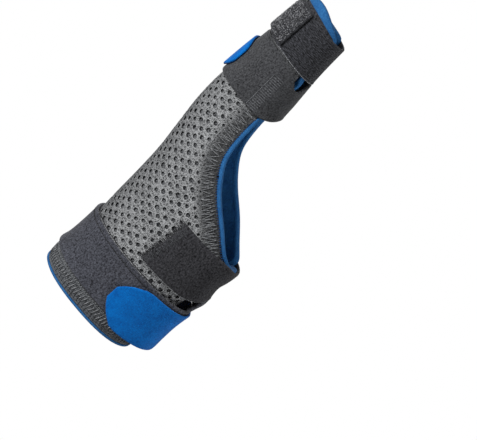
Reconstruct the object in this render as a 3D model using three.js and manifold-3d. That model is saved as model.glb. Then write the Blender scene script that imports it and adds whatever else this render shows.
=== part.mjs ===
// A thumb spica splint for a right hand, closed as it sits on the wrist and thumb.
// A knitted spacer shell with a lining runs from the forearm over the thumb side of the wrist to the
// end joint of the thumb. Straps close it round the wrist, the heel of the hand and the thumb.
// Millimetres. +X runs along the forearm towards the fingers, +Z to the thumb side, +Y to the palm.
// The origin is the middle of the wrist, under the middle of the wrist strap.

import * as THREE from "three";
import { mergeVertices } from "three/addons/utils/BufferGeometryUtils.js";
import Module from "manifold-3d";

const wasm = await Module();
wasm.setup();

// Body sizes, measured over the shell
const WRIST_BREADTH = 62.5; // from the thumb side to the little-finger side
const WRIST_DEPTH = 50; // from the back of the wrist to its palm side
const THUMB_BREADTH = 30.5; // at the end joint of the thumb, along Z
const THUMB_DEPTH = 29.2; // the same, along Y
const THUMB_RISE = 26; // the thumb's axis over the forearm's axis
const THUMB_PALM = 5; // the thumb's axis towards the palm

// Lengths along the forearm and thumb, in order from the forearm
const RIM_BORDER = 9.3; // sewn border between the rim and the wrist strap
const WRIST_STRAP_WIDTH = 26.4;
const STRAP_SPACING = 5.6; // bare shell between the wrist strap and the hand strap
const HAND_STRAP_WIDTH = 28.5;
const OPENING_LENGTH = 58.5; // the hand's way out, from the hand strap to the web of the thumb
const THUMB_WRAP_WIDTH = 30.4;
const THUMB_STRAP_SPACING = 0.6;
const THUMB_STRAP_WIDTH = 23;
const TIP_LIP = 0.5; // shell that shows past the thumb strap all round
const TIP_FLAP = 4.8; // how much further it goes over the back of the thumb

// Cloth
const SHELL_THICKNESS = 2.4;
const LINING_THICKNESS = 1;
const OPENING_LIP = 2; // width of the lining's lip at the hand opening
const RIM_LIP = 1.2; // the same, at the rim and at the thumb's end
const STRAP_THICKNESS = 1.8;
const THUMB_WRAP_THICKNESS = 1.4;
const THUMB_STRAP_THICKNESS = 1.3;
const TAB_THICKNESS = 1.4;
const CLEARANCE = 0.35; // between two layers of cloth

// How the pieces are cut and laid
const SEAM_GAP = 5; // between the shell's two long edges, on the little-finger side
const SEAM_OFFSET = 7; // from the forearm's axis towards the palm
const SLOT_RISE = 3; // from the lowest line of the thumb's shell up to its open edges
const WEB_RISE = 6.2; // the same, at the web of the thumb
const STRAP_SLACK = 4.8; // how far the wrist strap stands off under the wrist
const WRIST_TAB_LENGTH = 56;
const WRIST_TAB_WIDTH = 27.7;
const WRIST_TAB_OVERHANG = 3.2; // past the wrist strap's edge, towards the forearm
const THUMB_TAB_LENGTH = 26;
const THUMB_TAB_WIDTH = 22;
const THUMB_TAB_SETBACK = 1.4; // from the thumb wrap's edge at the web
const THUMB_WRAP_RISE = 5; // how far that edge draws back under the thumb
const THUMB_WRAP_NOTCH = 6.5; // the hollow in its other edge, low on the back of the thumb
const THUMB_STRAP_SLANT = 2.5; // the thumb strap lies lower towards the web under the thumb
const ROUGH_END_INSET = 1.5; // the rough strap end is narrower than the strap by this, on one side
const HAND_STRAP_DRAW = 5.7; // the hand strap's edges draw in where it bends round the hand

// Where each piece starts and ends along X
const WRIST_STRAP_END = WRIST_STRAP_WIDTH / 2;
const RIM = -WRIST_STRAP_END - RIM_BORDER;
const HAND_STRAP_START = WRIST_STRAP_END + STRAP_SPACING;
const HAND_STRAP_END = HAND_STRAP_START + HAND_STRAP_WIDTH;
const WEB = HAND_STRAP_END + OPENING_LENGTH;
const THUMB_WRAP_END = WEB + THUMB_WRAP_WIDTH;
const THUMB_STRAP_START = THUMB_WRAP_END + THUMB_STRAP_SPACING;
const THUMB_STRAP_END = THUMB_STRAP_START + THUMB_STRAP_WIDTH;
const TIP = THUMB_STRAP_END + TIP_LIP + TIP_FLAP;

// The arm and thumb as sections across X. "at" is a share of the span, and the other columns are
// shares of the named body sizes: a breadth is wristB of the wrist's plus thumbB of the thumb's.
const SPANS = {
  wrist: [RIM, HAND_STRAP_END],
  hand: [HAND_STRAP_END, WEB],
  thumb: [WEB, TIP],
};
const SECTIONS = [
  { span: "wrist", at: 0.0, wristB: 0.995, thumbB: 0, wristD: 1.064, thumbD: 0, rise: -0.027, palm: 0 },
  { span: "wrist", at: 0.113, wristB: 1.014, thumbB: 0, wristD: 1.064, thumbD: 0, rise: -0.027, palm: 0 },
  { span: "wrist", at: 0.211, wristB: 0.989, thumbB: 0, wristD: 1.024, thumbD: 0, rise: -0.038, palm: 0 },
  { span: "wrist", at: 0.354, wristB: 0.981, thumbB: 0, wristD: 1.0, thumbD: 0, rise: -0.033, palm: 0 },
  { span: "wrist", at: 0.522, wristB: 1.005, thumbB: 0, wristD: 0.98, thumbD: 0, rise: -0.042, palm: 0 },
  { span: "wrist", at: 0.69, wristB: 1.066, thumbB: 0, wristD: 0.98, thumbD: 0, rise: -0.073, palm: 0.05 },
  { span: "wrist", at: 0.915, wristB: 1.136, thumbB: 0, wristD: 0.98, thumbD: 0, rise: -0.104, palm: 0.2 },
  { span: "hand", at: 0.152, wristB: 1.0, thumbB: 0.27, wristD: 0.7, thumbD: 0.445, rise: -0.03, palm: 0.4 },
  { span: "hand", at: 0.409, wristB: 0.8, thumbB: 0.48, wristD: 0.55, thumbD: 0.6, rise: 0.204, palm: 0.6 },
  { span: "hand", at: 0.665, wristB: 0.5, thumbB: 0.733, wristD: 0.35, thumbD: 0.77, rise: 0.531, palm: 0.8 },
  { span: "hand", at: 0.87, wristB: 0.2, thumbB: 1.0, wristD: 0.15, thumbD: 0.96, rise: 0.787, palm: 0.95 },
  { span: "thumb", at: 0.024, wristB: 0, thumbB: 1.203, wristD: 0, thumbD: 1.116, rise: 0.917, palm: 1 },
  { span: "thumb", at: 0.265, wristB: 0, thumbB: 1.108, wristD: 0, thumbD: 1.055, rise: 0.965, palm: 1 },
  { span: "thumb", at: 0.54, wristB: 0, thumbB: 1.0, wristD: 0, thumbD: 1.0, rise: 1.002, palm: 1 },
  { span: "thumb", at: 0.78, wristB: 0, thumbB: 0.941, wristD: 0, thumbD: 0.973, rise: 1.025, palm: 1 },
  { span: "thumb", at: 1.0, wristB: 0, thumbB: 0.895, wristD: 0, thumbD: 0.952, rise: 1.033, palm: 1 },
];
const SECTION_POWER = 2.3; // 2 is an ellipse, more is squarer

const ROWS = SECTIONS.map((row) => {
  const [start, end] = SPANS[row.span];
  return {
    x: start + row.at * (end - start),
    halfBreadth: (row.wristB * WRIST_BREADTH + row.thumbB * THUMB_BREADTH) / 2,
    halfDepth: (row.wristD * WRIST_DEPTH + row.thumbD * THUMB_DEPTH) / 2,
    centreZ: row.rise * THUMB_RISE,
    centreY: row.palm * THUMB_PALM,
  };
});

// The edge of the hand opening: "along" is a share of the opening's length from the hand strap,
// "drop" a share of the way from the web's edge down to the little-finger side of the wrist.
const OPENING_EDGE = [
  { along: -0.104, drop: 1.33 },
  { along: 0.022, drop: 0.994 },
  { along: 0.191, drop: 0.692 },
  { along: 0.349, drop: 0.388 },
  { along: 0.492, drop: 0.187 },
  { along: 0.6, drop: 0.089 },
  { along: 0.738, drop: 0.036 },
  { along: 0.921, drop: 0.002 },
  { along: 1.0, drop: 0 },
];

// Outlines of the straps' free ends: "length" is a share of the tab's length from its tip,
// "low" and "high" are shares of half its width, to the forearm side and the finger side.
const WRIST_TAB_OUTLINE = [
  { length: 0, low: -0.27, high: 0.23 },
  { length: 0.1, low: -0.63, high: 0.68 },
  { length: 0.2, low: -1, high: 0.95 },
  { length: 0.26, low: -1, high: 1 },
  { length: 1, low: -0.94, high: 0.96 },
];
const THUMB_TAB_OUTLINE = [
  { length: 0, low: -0.35, high: 0.35 },
  { length: 0.07, low: -0.66, high: 0.66 },
  { length: 0.17, low: -0.87, high: 0.87 },
  { length: 0.32, low: -1, high: 1 },
  { length: 1, low: -1, high: 1 },
];

// Turns are in degrees round the limb: 0 is the thumb side, 90 the back of the hand,
// 180 the little-finger side and 270 the palm side.
const TURN_STEP = 10;
const UNDERSIDE = 180;
const HAND_STRAP_TURNS = { from: 92, to: 262 };
const YOKE_TURNS = { from: 166, to: 262 };
const WRIST_TAB_TIP = 99;
const THUMB_TAB_TIP = 34;
const ROUGH_END_TURNS = { from: -100, to: 68 };
const SLACK_SPREAD = 60; // the wrist strap stands off within this of the underside
const DRAW_SPREAD = 45; // the hand strap has drawn in by the underside, from this far before it
const WRAP_RISE_SPREAD = 70;
const NOTCH = { turn: 143, spread: 32 };
const FLAP = { turn: 60, spread: 100 };
const SLACK_END = 0.55; // the slack is gone at this share of the hand strap's width

// A smooth curve through the rows, for one column, at one X.
function columnAt(column, x) {
  const last = ROWS.length - 1;
  let i = ROWS.findIndex((row) => row.x > x) - 1;
  if (i < 0) i = x <= ROWS[0].x ? 0 : last - 1;
  const [a, b] = [ROWS[i], ROWS[i + 1]];
  const before = ROWS[Math.max(i - 1, 0)];
  const after = ROWS[Math.min(i + 2, last)];
  const span = b.x - a.x;
  const slopeA = ((b[column] - before[column]) / (b.x - before.x)) * span;
  const slopeB = ((after[column] - a[column]) / (after.x - a.x)) * span;
  const t = THREE.MathUtils.clamp((x - a.x) / span, 0, 1);
  const t2 = t * t;
  const t3 = t2 * t;
  return (
    (2 * t3 - 3 * t2 + 1) * a[column] +
    (t3 - 2 * t2 + t) * slopeA +
    (3 * t2 - 2 * t3) * b[column] +
    (t3 - t2) * slopeB
  );
}

// The point of the shell's outer face at an X and a turn, in the YZ plane.
function facePoint(x, turn) {
  const angle = THREE.MathUtils.degToRad(turn);
  const across = -Math.sin(angle);
  const up = Math.cos(angle);
  const reach = (Math.abs(across) ** SECTION_POWER + Math.abs(up) ** SECTION_POWER) ** (-1 / SECTION_POWER);
  return new THREE.Vector2(
    columnAt("centreY", x) + columnAt("halfDepth", x) * across * reach,
    columnAt("centreZ", x) + columnAt("halfBreadth", x) * up * reach,
  );
}

// The same point lifted off the shell's outer face, or sunk into it where the lift is negative.
function liftedPoint(x, turn, lift) {
  const nudge = 1;
  const tangent = facePoint(x, turn + nudge).sub(facePoint(x, turn - nudge)).normalize();
  const point = facePoint(x, turn);
  return new THREE.Vector3(x, point.x + tangent.y * lift, point.y - tangent.x * lift);
}

// Every multiple of the turn step between two turns, with both ends.
function turnsBetween(from, to) {
  const turns = [from];
  const first = Math.ceil((from + 1) / TURN_STEP) * TURN_STEP;
  for (let turn = first; turn < to - 1; turn += TURN_STEP) turns.push(turn);
  turns.push(to);
  return turns;
}

// A wall of cloth wrapped round the limb. low(turn) and high(turn) are its two edges along X, and
// inner(turn, x) and outer(turn, x) are the lifts of its two faces. A full ring closes on itself.
function wrappedWall({ turns, low, high, inner, outer, stations, ring = false }) {
  const positions = [];
  const columns = stations + 1;
  for (const lift of [inner, outer]) {
    for (const turn of turns) {
      for (let i = 0; i < columns; i++) {
        const x = THREE.MathUtils.lerp(low(turn), high(turn), i / stations);
        positions.push(...liftedPoint(x, turn, lift(turn, x)).toArray());
      }
    }
  }
  const rows = turns.length;
  const index = [];
  const at = (face, row, column) => (face * rows + (row % rows)) * columns + column;
  const quad = (a, b, c, d) => index.push(a, b, c, a, c, d);
  for (let row = 0; row < (ring ? rows : rows - 1); row++) {
    for (let i = 0; i < stations; i++) {
      quad(at(0, row, i), at(0, row, i + 1), at(0, row + 1, i + 1), at(0, row + 1, i));
      quad(at(1, row, i), at(1, row + 1, i), at(1, row + 1, i + 1), at(1, row, i + 1));
    }
    quad(at(0, row, 0), at(0, row + 1, 0), at(1, row + 1, 0), at(1, row, 0));
    quad(at(0, row, stations), at(1, row, stations), at(1, row + 1, stations), at(0, row + 1, stations));
  }
  if (!ring) {
    for (let i = 0; i < stations; i++) {
      const end = rows - 1;
      quad(at(0, 0, i), at(1, 0, i), at(1, 0, i + 1), at(0, 0, i + 1));
      quad(at(0, end, i), at(0, end, i + 1), at(1, end, i + 1), at(1, end, i));
    }
  }
  const geometry = new THREE.BufferGeometry();
  geometry.setAttribute("position", new THREE.Float32BufferAttribute(positions, 3));
  geometry.setIndex(index);
  return geometry;
}

// Between a closed geometry and a solid that can be cut, both ways.
function toSolid(geometry) {
  const bare = geometry.clone();
  bare.deleteAttribute("normal");
  bare.deleteAttribute("uv");
  const merged = mergeVertices(bare, 1e-4);
  return new wasm.Manifold(
    new wasm.Mesh({
      numProp: 3,
      vertProperties: merged.attributes.position.array,
      triVerts: new Uint32Array(merged.index.array),
    }),
  );
}

function toGeometry(solid) {
  const made = solid.getMesh();
  const geometry = new THREE.BufferGeometry();
  geometry.setAttribute("position", new THREE.Float32BufferAttribute(Array.from(made.vertProperties), 3));
  geometry.setIndex(Array.from(made.triVerts));
  return geometry;
}

// The edge of the hand opening and of the slot under the thumb, as points in the XZ plane, moved
// back into the cloth by "inset".
function openEdge(inset) {
  const lowest = (x) => columnAt("centreZ", x) - columnAt("halfBreadth", x);
  const webHeight = lowest(WEB) + WEB_RISE;
  const points = OPENING_EDGE.map(
    ({ along, drop }) =>
      new THREE.Vector2(
        HAND_STRAP_END + along * OPENING_LENGTH,
        webHeight - drop * (webHeight + WRIST_BREADTH / 2),
      ),
  );
  points.push(new THREE.Vector2(THUMB_WRAP_END, lowest(THUMB_WRAP_END) + SLOT_RISE));
  points.push(new THREE.Vector2(TIP, lowest(TIP) + SLOT_RISE));
  const samples = 36;
  const curve = new THREE.SplineCurve(points);
  return Array.from({ length: samples + 1 }, (_, i) => {
    const point = curve.getPoint(i / samples);
    const along = curve.getTangent(i / samples);
    return point.add(new THREE.Vector2(-along.y, along.x).multiplyScalar(inset));
  });
}

// What is cut from a ring of cloth: the hand opening with the slot under the thumb, right through
// from back to palm, and the seam on the little-finger side.
function openings(inset) {
  const margin = 60;
  const edge = openEdge(inset);
  const outline = new THREE.Shape([
    ...edge,
    new THREE.Vector2(TIP + margin, edge[edge.length - 1].y),
    new THREE.Vector2(TIP + margin, -WRIST_BREADTH - margin),
    new THREE.Vector2(edge[0].x, -WRIST_BREADTH - margin),
  ]);
  const width = WRIST_DEPTH + 2 * margin;
  const hand = new THREE.ExtrudeGeometry(outline, { depth: width, bevelEnabled: false });
  hand.rotateX(Math.PI / 2);
  hand.translate(0, width / 2, 0);
  const seamLength = HAND_STRAP_END - RIM + margin;
  const seam = new THREE.BoxGeometry(seamLength, SEAM_GAP + 2 * inset, WRIST_BREADTH);
  seam.translate(
    RIM - margin / 2 + seamLength / 2,
    SEAM_OFFSET + SEAM_GAP / 2,
    -WRIST_BREADTH / 2 - WRIST_BREADTH / 4,
  );
  return toSolid(hand).add(toSolid(seam));
}

// A smooth bump of height 1 at one turn, down to 0 at its spread on both sides.
function bump(turn, centre, spread) {
  const away = Math.abs(THREE.MathUtils.euclideanModulo(turn - centre + 180, 360) - 180);
  return away < spread ? Math.cos((Math.PI / 2) * (away / spread)) ** 2 : 0;
}

// Under the thumb the strap, and all that ends beside it, lies nearer the web.
function thumbSlant(turn) {
  return -THUMB_STRAP_SLANT * bump(turn, UNDERSIDE, 180);
}

function tipEdge(turn) {
  return THUMB_STRAP_END + TIP_LIP + thumbSlant(turn) + TIP_FLAP * bump(turn, FLAP.turn, FLAP.spread);
}

// A whole ring of cloth over the arm and thumb, longer at both ends by "extra".
function limbRing(inner, outer, extra) {
  return wrappedWall({
    turns: turnsBetween(0, 360 - TURN_STEP),
    low: () => RIM - extra,
    high: (turn) => tipEdge(turn) + extra,
    inner: () => inner,
    outer: () => outer,
    stations: 20,
    ring: true,
  });
}

// The outer shell of spacer knit.
function shell() {
  return toGeometry(toSolid(limbRing(-SHELL_THICKNESS, 0, 0)).subtract(openings(OPENING_LIP)));
}

// The lining lies inside the shell, and its lip covers the shell's edges all round.
function lining() {
  const inner = -SHELL_THICKNESS - CLEARANCE - LINING_THICKNESS;
  const whole = toSolid(limbRing(inner, 0, RIM_LIP)).subtract(openings(0));
  const shellSpace = toSolid(limbRing(-SHELL_THICKNESS - CLEARANCE, CLEARANCE, CLEARANCE));
  return toGeometry(whole.subtract(shellSpace.subtract(openings(OPENING_LIP - CLEARANCE))));
}

// How far the straps stand off the shell: they run straight under the wrist.
function slackAt(turn, x) {
  const end = HAND_STRAP_START + SLACK_END * HAND_STRAP_WIDTH;
  const left = 1 - THREE.MathUtils.smoothstep(x, HAND_STRAP_START, end);
  return STRAP_SLACK * left * bump(turn, UNDERSIDE, SLACK_SPREAD);
}

function wristStrap() {
  return wrappedWall({
    turns: turnsBetween(0, 360 - TURN_STEP),
    low: () => -WRIST_STRAP_END,
    high: () => WRIST_STRAP_END,
    inner: (turn, x) => CLEARANCE + slackAt(turn, x),
    outer: (turn, x) => CLEARANCE + STRAP_THICKNESS + slackAt(turn, x),
    stations: 3,
    ring: true,
  });
}

// The two edges of a tab along X, from its outline, at a share of its length.
function tabEdge(outline, side, share, middle, width) {
  const next = Math.max(
    outline.findIndex((row) => row.length >= share),
    1,
  );
  const [before, after] = [outline[next - 1], outline[next]];
  const mix = (share - before.length) / (after.length - before.length);
  return middle + (THREE.MathUtils.lerp(before[side], after[side], mix) * width) / 2;
}

// A tab laid on other cloth: its tip is at one turn, and its root further round by its length.
function tab({ outline, tipTurn, direction, length, radius, middle, width, under, slack }) {
  const rootTurn = tipTurn + direction * THREE.MathUtils.radToDeg(length / radius);
  const share = (turn) => THREE.MathUtils.clamp((turn - tipTurn) / (rootTurn - tipTurn), 0, 1);
  const corners = outline.map((row) => tipTurn + row.length * (rootTurn - tipTurn));
  const turns = [...turnsBetween(Math.min(tipTurn, rootTurn), Math.max(tipTurn, rootTurn)), ...corners]
    .sort((a, b) => a - b)
    .filter((turn, i, all) => i === 0 || turn - all[i - 1] > 1);
  return wrappedWall({
    turns,
    low: (turn) => tabEdge(outline, "low", share(turn), middle, width),
    high: (turn) => tabEdge(outline, "high", share(turn), middle, width),
    inner: (turn, x) => under + CLEARANCE + slack(turn, x),
    outer: (turn, x) => under + CLEARANCE + TAB_THICKNESS + slack(turn, x),
    stations: 3,
  });
}

// The wrist strap's free end, fastened on the back of the wrist.
function wristTab() {
  return tab({
    outline: WRIST_TAB_OUTLINE,
    tipTurn: WRIST_TAB_TIP,
    direction: 1,
    length: WRIST_TAB_LENGTH,
    radius: (WRIST_BREADTH + WRIST_DEPTH) / 4 + STRAP_SLACK,
    middle: -WRIST_STRAP_END - WRIST_TAB_OVERHANG + WRIST_TAB_WIDTH / 2,
    width: WRIST_TAB_WIDTH,
    under: CLEARANCE + STRAP_THICKNESS,
    slack: slackAt,
  });
}

// How much of its draw the hand strap has at a turn, on the back and on the palm side alike.
function drawAt(turn) {
  return THREE.MathUtils.smoothstep(turn, UNDERSIDE - DRAW_SPREAD, UNDERSIDE);
}

function handStrapLow(turn) {
  return HAND_STRAP_START + HAND_STRAP_DRAW * drawAt(turn);
}

function handStrap() {
  return wrappedWall({
    turns: turnsBetween(HAND_STRAP_TURNS.from, HAND_STRAP_TURNS.to),
    low: handStrapLow,
    high: (turn) => HAND_STRAP_END - (HAND_STRAP_DRAW / 2) * drawAt(turn),
    inner: (turn, x) => CLEARANCE + slackAt(turn, x),
    outer: (turn, x) => CLEARANCE + STRAP_THICKNESS + slackAt(turn, x),
    stations: 4,
  });
}

// The yoke fills the corner between the two straps, from the underside to the palm.
function strapYoke() {
  return wrappedWall({
    turns: turnsBetween(YOKE_TURNS.from, YOKE_TURNS.to),
    low: () => WRIST_STRAP_END + CLEARANCE,
    high: (turn) => handStrapLow(turn) - CLEARANCE,
    inner: (turn, x) => CLEARANCE + slackAt(turn, x),
    outer: (turn, x) => CLEARANCE + STRAP_THICKNESS + slackAt(turn, x),
    stations: 2,
  });
}

// The wide wrap round the root of the thumb.
function thumbWrap() {
  const notchAt = (turn) => THUMB_WRAP_NOTCH * bump(turn, NOTCH.turn, NOTCH.spread);
  return wrappedWall({
    turns: turnsBetween(0, 360 - TURN_STEP),
    low: (turn) => WEB + THUMB_WRAP_RISE * bump(turn, UNDERSIDE, WRAP_RISE_SPREAD),
    high: (turn) => THUMB_WRAP_END + thumbSlant(turn) - notchAt(turn),
    inner: () => CLEARANCE,
    outer: () => CLEARANCE + THUMB_WRAP_THICKNESS,
    stations: 4,
    ring: true,
  });
}

// The thumb wrap's free end, fastened over the thumb.
function thumbTab() {
  return tab({
    outline: THUMB_TAB_OUTLINE,
    tipTurn: THUMB_TAB_TIP,
    direction: -1,
    length: THUMB_TAB_LENGTH,
    radius: (THUMB_BREADTH + THUMB_DEPTH) / 4,
    middle: WEB + THUMB_TAB_SETBACK + THUMB_TAB_WIDTH / 2,
    width: THUMB_TAB_WIDTH,
    under: CLEARANCE + THUMB_WRAP_THICKNESS,
    slack: () => 0,
  });
}

// The narrow strap round the thumb's end joint, and its rough end that lies over it.
function thumbStrap() {
  return wrappedWall({
    turns: turnsBetween(0, 360 - TURN_STEP),
    low: (turn) => THUMB_STRAP_START + thumbSlant(turn),
    high: (turn) => THUMB_STRAP_END + thumbSlant(turn),
    inner: () => CLEARANCE,
    outer: () => CLEARANCE + THUMB_STRAP_THICKNESS,
    stations: 2,
    ring: true,
  });
}

function thumbStrapEnd() {
  const under = CLEARANCE + THUMB_STRAP_THICKNESS;
  return wrappedWall({
    turns: turnsBetween(ROUGH_END_TURNS.from, ROUGH_END_TURNS.to),
    low: (turn) => THUMB_STRAP_START + ROUGH_END_INSET + thumbSlant(turn),
    high: (turn) => THUMB_STRAP_END + thumbSlant(turn),
    inner: () => under + CLEARANCE,
    outer: () => under + CLEARANCE + TAB_THICKNESS,
    stations: 2,
  });
}

const CLOTHS = {
  spacerKnit: { color: 0x86888b, roughness: 0.92, metalness: 0 },
  blueLining: { color: 0x17589c, roughness: 0.9, metalness: 0 },
  loopCloth: { color: 0x3d3d41, roughness: 0.95, metalness: 0 },
  wovenTape: { color: 0x404147, roughness: 0.85, metalness: 0 },
  roughLoop: { color: 0x3f3f44, roughness: 1, metalness: 0 },
  blueTab: { color: 0x11549a, roughness: 0.85, metalness: 0 },
};

const PIECES = [
  { name: "shell", make: shell, cloth: "spacerKnit" },
  { name: "lining", make: lining, cloth: "blueLining" },
  { name: "wrist_strap", make: wristStrap, cloth: "loopCloth" },
  { name: "wrist_tab", make: wristTab, cloth: "blueTab" },
  { name: "hand_strap", make: handStrap, cloth: "loopCloth" },
  { name: "strap_yoke", make: strapYoke, cloth: "loopCloth" },
  { name: "thumb_wrap", make: thumbWrap, cloth: "loopCloth" },
  { name: "thumb_tab", make: thumbTab, cloth: "blueTab" },
  { name: "thumb_strap", make: thumbStrap, cloth: "wovenTape" },
  { name: "thumb_strap_end", make: thumbStrapEnd, cloth: "roughLoop" },
];

const splint = new THREE.Group();
for (const { name, make, cloth } of PIECES) {
  const piece = new THREE.Mesh(make(), new THREE.MeshStandardMaterial(CLOTHS[cloth]));
  piece.name = name;
  splint.add(piece);
}

export default splint;
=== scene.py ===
# A thumb spica splint in its fabrics: perforated spacer knit with sewn borders, a brushed blue
# lining, charcoal loop-cloth straps and blue felted tabs, closed as it is worn.
# Sizes are in millimetres, and meshes and Blender's own settings in metres. +X runs along the
# forearm to the fingers, +Z to the thumb side and +Y to the palm. A turn is in degrees round the
# limb: 0 is the thumb side, 90 the back of the hand, 180 the little-finger side, 270 the palm.
# A lift is a height off the shell's outer face.

import math
from functools import partial

import bmesh
import bpy
import numpy as np
from mathutils import Matrix, Vector


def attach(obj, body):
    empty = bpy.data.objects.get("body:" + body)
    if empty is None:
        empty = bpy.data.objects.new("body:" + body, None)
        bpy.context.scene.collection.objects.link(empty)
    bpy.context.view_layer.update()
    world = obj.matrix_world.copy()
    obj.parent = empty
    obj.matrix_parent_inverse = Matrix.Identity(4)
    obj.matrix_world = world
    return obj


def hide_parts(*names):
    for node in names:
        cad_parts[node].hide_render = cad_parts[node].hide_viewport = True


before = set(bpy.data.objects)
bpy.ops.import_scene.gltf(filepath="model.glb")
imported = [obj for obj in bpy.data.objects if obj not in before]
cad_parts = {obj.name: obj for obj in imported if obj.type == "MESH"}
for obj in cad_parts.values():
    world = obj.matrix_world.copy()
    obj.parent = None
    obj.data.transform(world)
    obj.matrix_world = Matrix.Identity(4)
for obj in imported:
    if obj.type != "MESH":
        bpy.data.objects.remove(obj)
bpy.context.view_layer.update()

MM = 0.001
BODY = "root"

# Body sizes, measured over the shell
WRIST_BREADTH = 62.5
WRIST_DEPTH = 50
THUMB_BREADTH = 30.5
THUMB_DEPTH = 29.2
THUMB_RISE = 26
THUMB_PALM = 5

# Lengths along the forearm and thumb
RIM_BORDER = 9.3
WRIST_STRAP_WIDTH = 26.4
STRAP_SPACING = 5.6
HAND_STRAP_WIDTH = 28.5
OPENING_LENGTH = 58.5
THUMB_WRAP_WIDTH = 30.4
THUMB_STRAP_SPACING = 0.6
THUMB_STRAP_WIDTH = 23
TIP_LIP = 0.5
TIP_FLAP = 4.8

# Cloth
SHELL_THICKNESS = 2.4
LINING_THICKNESS = 1
OPENING_LIP = 2
RIM_LIP = 1.2
STRAP_THICKNESS = 1.8
THUMB_WRAP_THICKNESS = 1.4
THUMB_STRAP_THICKNESS = 1.3
TAB_THICKNESS = 1.4
CLEARANCE = 0.35

# How the pieces are cut and laid
SEAM_GAP = 5
SEAM_OFFSET = 7
SLOT_RISE = 3
WEB_RISE = 6.2
STRAP_SLACK = 4.8
WRIST_TAB_LENGTH = 56
WRIST_TAB_WIDTH = 27.7
WRIST_TAB_OVERHANG = 3.2
THUMB_TAB_LENGTH = 26
THUMB_TAB_WIDTH = 22
THUMB_TAB_SETBACK = 1.4
THUMB_WRAP_RISE = 5
THUMB_WRAP_NOTCH = 6.5
THUMB_STRAP_SLANT = 2.5
ROUGH_END_INSET = 1.5
HAND_STRAP_DRAW = 5.7

# Where each piece starts and ends along X
WRIST_STRAP_END = WRIST_STRAP_WIDTH / 2
RIM = -WRIST_STRAP_END - RIM_BORDER
HAND_STRAP_START = WRIST_STRAP_END + STRAP_SPACING
HAND_STRAP_END = HAND_STRAP_START + HAND_STRAP_WIDTH
WEB = HAND_STRAP_END + OPENING_LENGTH
THUMB_WRAP_END = WEB + THUMB_WRAP_WIDTH
THUMB_STRAP_START = THUMB_WRAP_END + THUMB_STRAP_SPACING
THUMB_STRAP_END = THUMB_STRAP_START + THUMB_STRAP_WIDTH
TIP = THUMB_STRAP_END + TIP_LIP + TIP_FLAP

# Turns
UNDERSIDE = 180
HAND_STRAP_TURNS = (92, 262)
YOKE_TURNS = (166, 262)
WRIST_TAB_TIP = 99
THUMB_TAB_TIP = 34
ROUGH_END_TURNS = (-100, 68)
SLACK_SPREAD = 60
DRAW_SPREAD = 45
WRAP_RISE_SPREAD = 70
NOTCH_TURN, NOTCH_SPREAD = 143, 32
FLAP_TURN, FLAP_SPREAD = 60, 100
SLACK_END = 0.55
TURN_STEP = 3

# The perforated knit: its holes, and the yarn that rises round each of them. HOLE_DRIFT is the spread
# of the holes' sizes, as a share.
HOLE_PITCH = 4.8
HOLE_ROW_PITCH = 3.45
HOLE_WIDTH = 1.8
HOLE_HEIGHT = 2.4
HOLE_DIP = 0.2
HOLE_DRIFT = 0.09
YARN_WIDTH = 0.4
YARN_HEIGHT = 0.22
YARN_RISE = 0.26
RING_POINTS = 12
KNIT_FACE_THICKNESS = 0.7
KNIT_START = WRIST_STRAP_END - 6
KNIT_END = WEB + 7
KNIT_INSET = 1.8
SLIVER_AREA = 0.06
MERGE_GAP = 0.03
CORE_FACE = -0.95

# The knit is left out where the hand strap hides it: from and to along X, and in from its ends
HIDDEN_KNIT = (HAND_STRAP_START + 4, HAND_STRAP_END - 8)
HIDDEN_TURN = 6

# The sewn border: its holes shrink to the share HOLE_SHUT from BORDER_END to BORDER_START, which are
# depths from the edge. RIDGE_SHADE is how far painted shade darkens the knit along the thumb side.
HOLE_SHUT = 0.1
BORDER_START = 7
BORDER_END = 14.5
DEPTH_LIMIT = 16.5
OVERLOCK_INSETS = (3.4, 9.8)
OVERLOCK_LIFT = 0.45
STITCH_PITCH = 0.95
SEWING_THREAD = 0.2
SEWING_DRIFT = 0.35
RIM_SEWING = 4.0
RIDGE_SHADE = 0.7
RIDGE_SPREAD = 75

# Other sewing, and the ribs below a ridge that show through the thumb wrap. STITCH_SHARE makes each
# half of a stitch reach a little past its end.
STITCH_SHARE = 0.58
ZIGZAG_PITCH = 0.8
TACK_PITCH = 0.55
WRAP_RIDGE_INSETS = (11.0, 10.4, 5.4)
WRAP_RIB_PITCH = 1.15
PILE_LOOPS = 2300
PILE_REACH = (0.3, 0.6)
PILE_RISE = (-0.05, 0.3)

# The lip, and the wall that it closes. It turns back by NOTCH_LIP_TURN beside the wrap's notch.
TIP_LIP_SHARE = 0.6
NOTCH_LIP_TURN = 9
NOTCH_LIP_SPREAD = 9
LIP_STEP = 1.1
LIP_SMOOTHING = 5
LIP_STITCH_INSETS = (1.6, 2.5)
LIP_STITCH_PITCH = 1.25
LIP_STITCH_LIFT = 0.36
LINING_INSET = 0.4

# The grid that the walls are made on, finer along X where the opening's edge is steep
STATION_STEP = 2.2
FINE_STATION_STEP = 0.8
FINE_STATIONS = (40, 62)
WALL_COLUMNS = 72
BAND_STATIONS = 9
BAND_COLUMNS = 100
CORE_INSET = 0.8
CORE_END_INSET = 0.6
TABLE_X = (RIM - 4, TIP + 6)

# What is cut from flat cloth: where each piece's length round the limb is measured, half way
# through its thickness
GIRTH_X = {
    "rim": RIM + RIM_SEWING,
    "yoke": WRIST_STRAP_END + 5,
    "hand": 35,
    "wrap": WEB + 15,
    "tape": THUMB_STRAP_START + 11,
}
MID_CLOTH = 1

# Fibre and the patterns on it
FIBRE_IOR = 1.5
FIBRE_GLOSS = 0.08
STRAND_NET = 1.3
PRESSED_NET = 1.0
PRESSED_RIB = 1.3
TAPE_WARP = 0.7
TAPE_WEFT = 0.95
PRESSED_AND_SHADE_SHARE = 0.8

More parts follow.
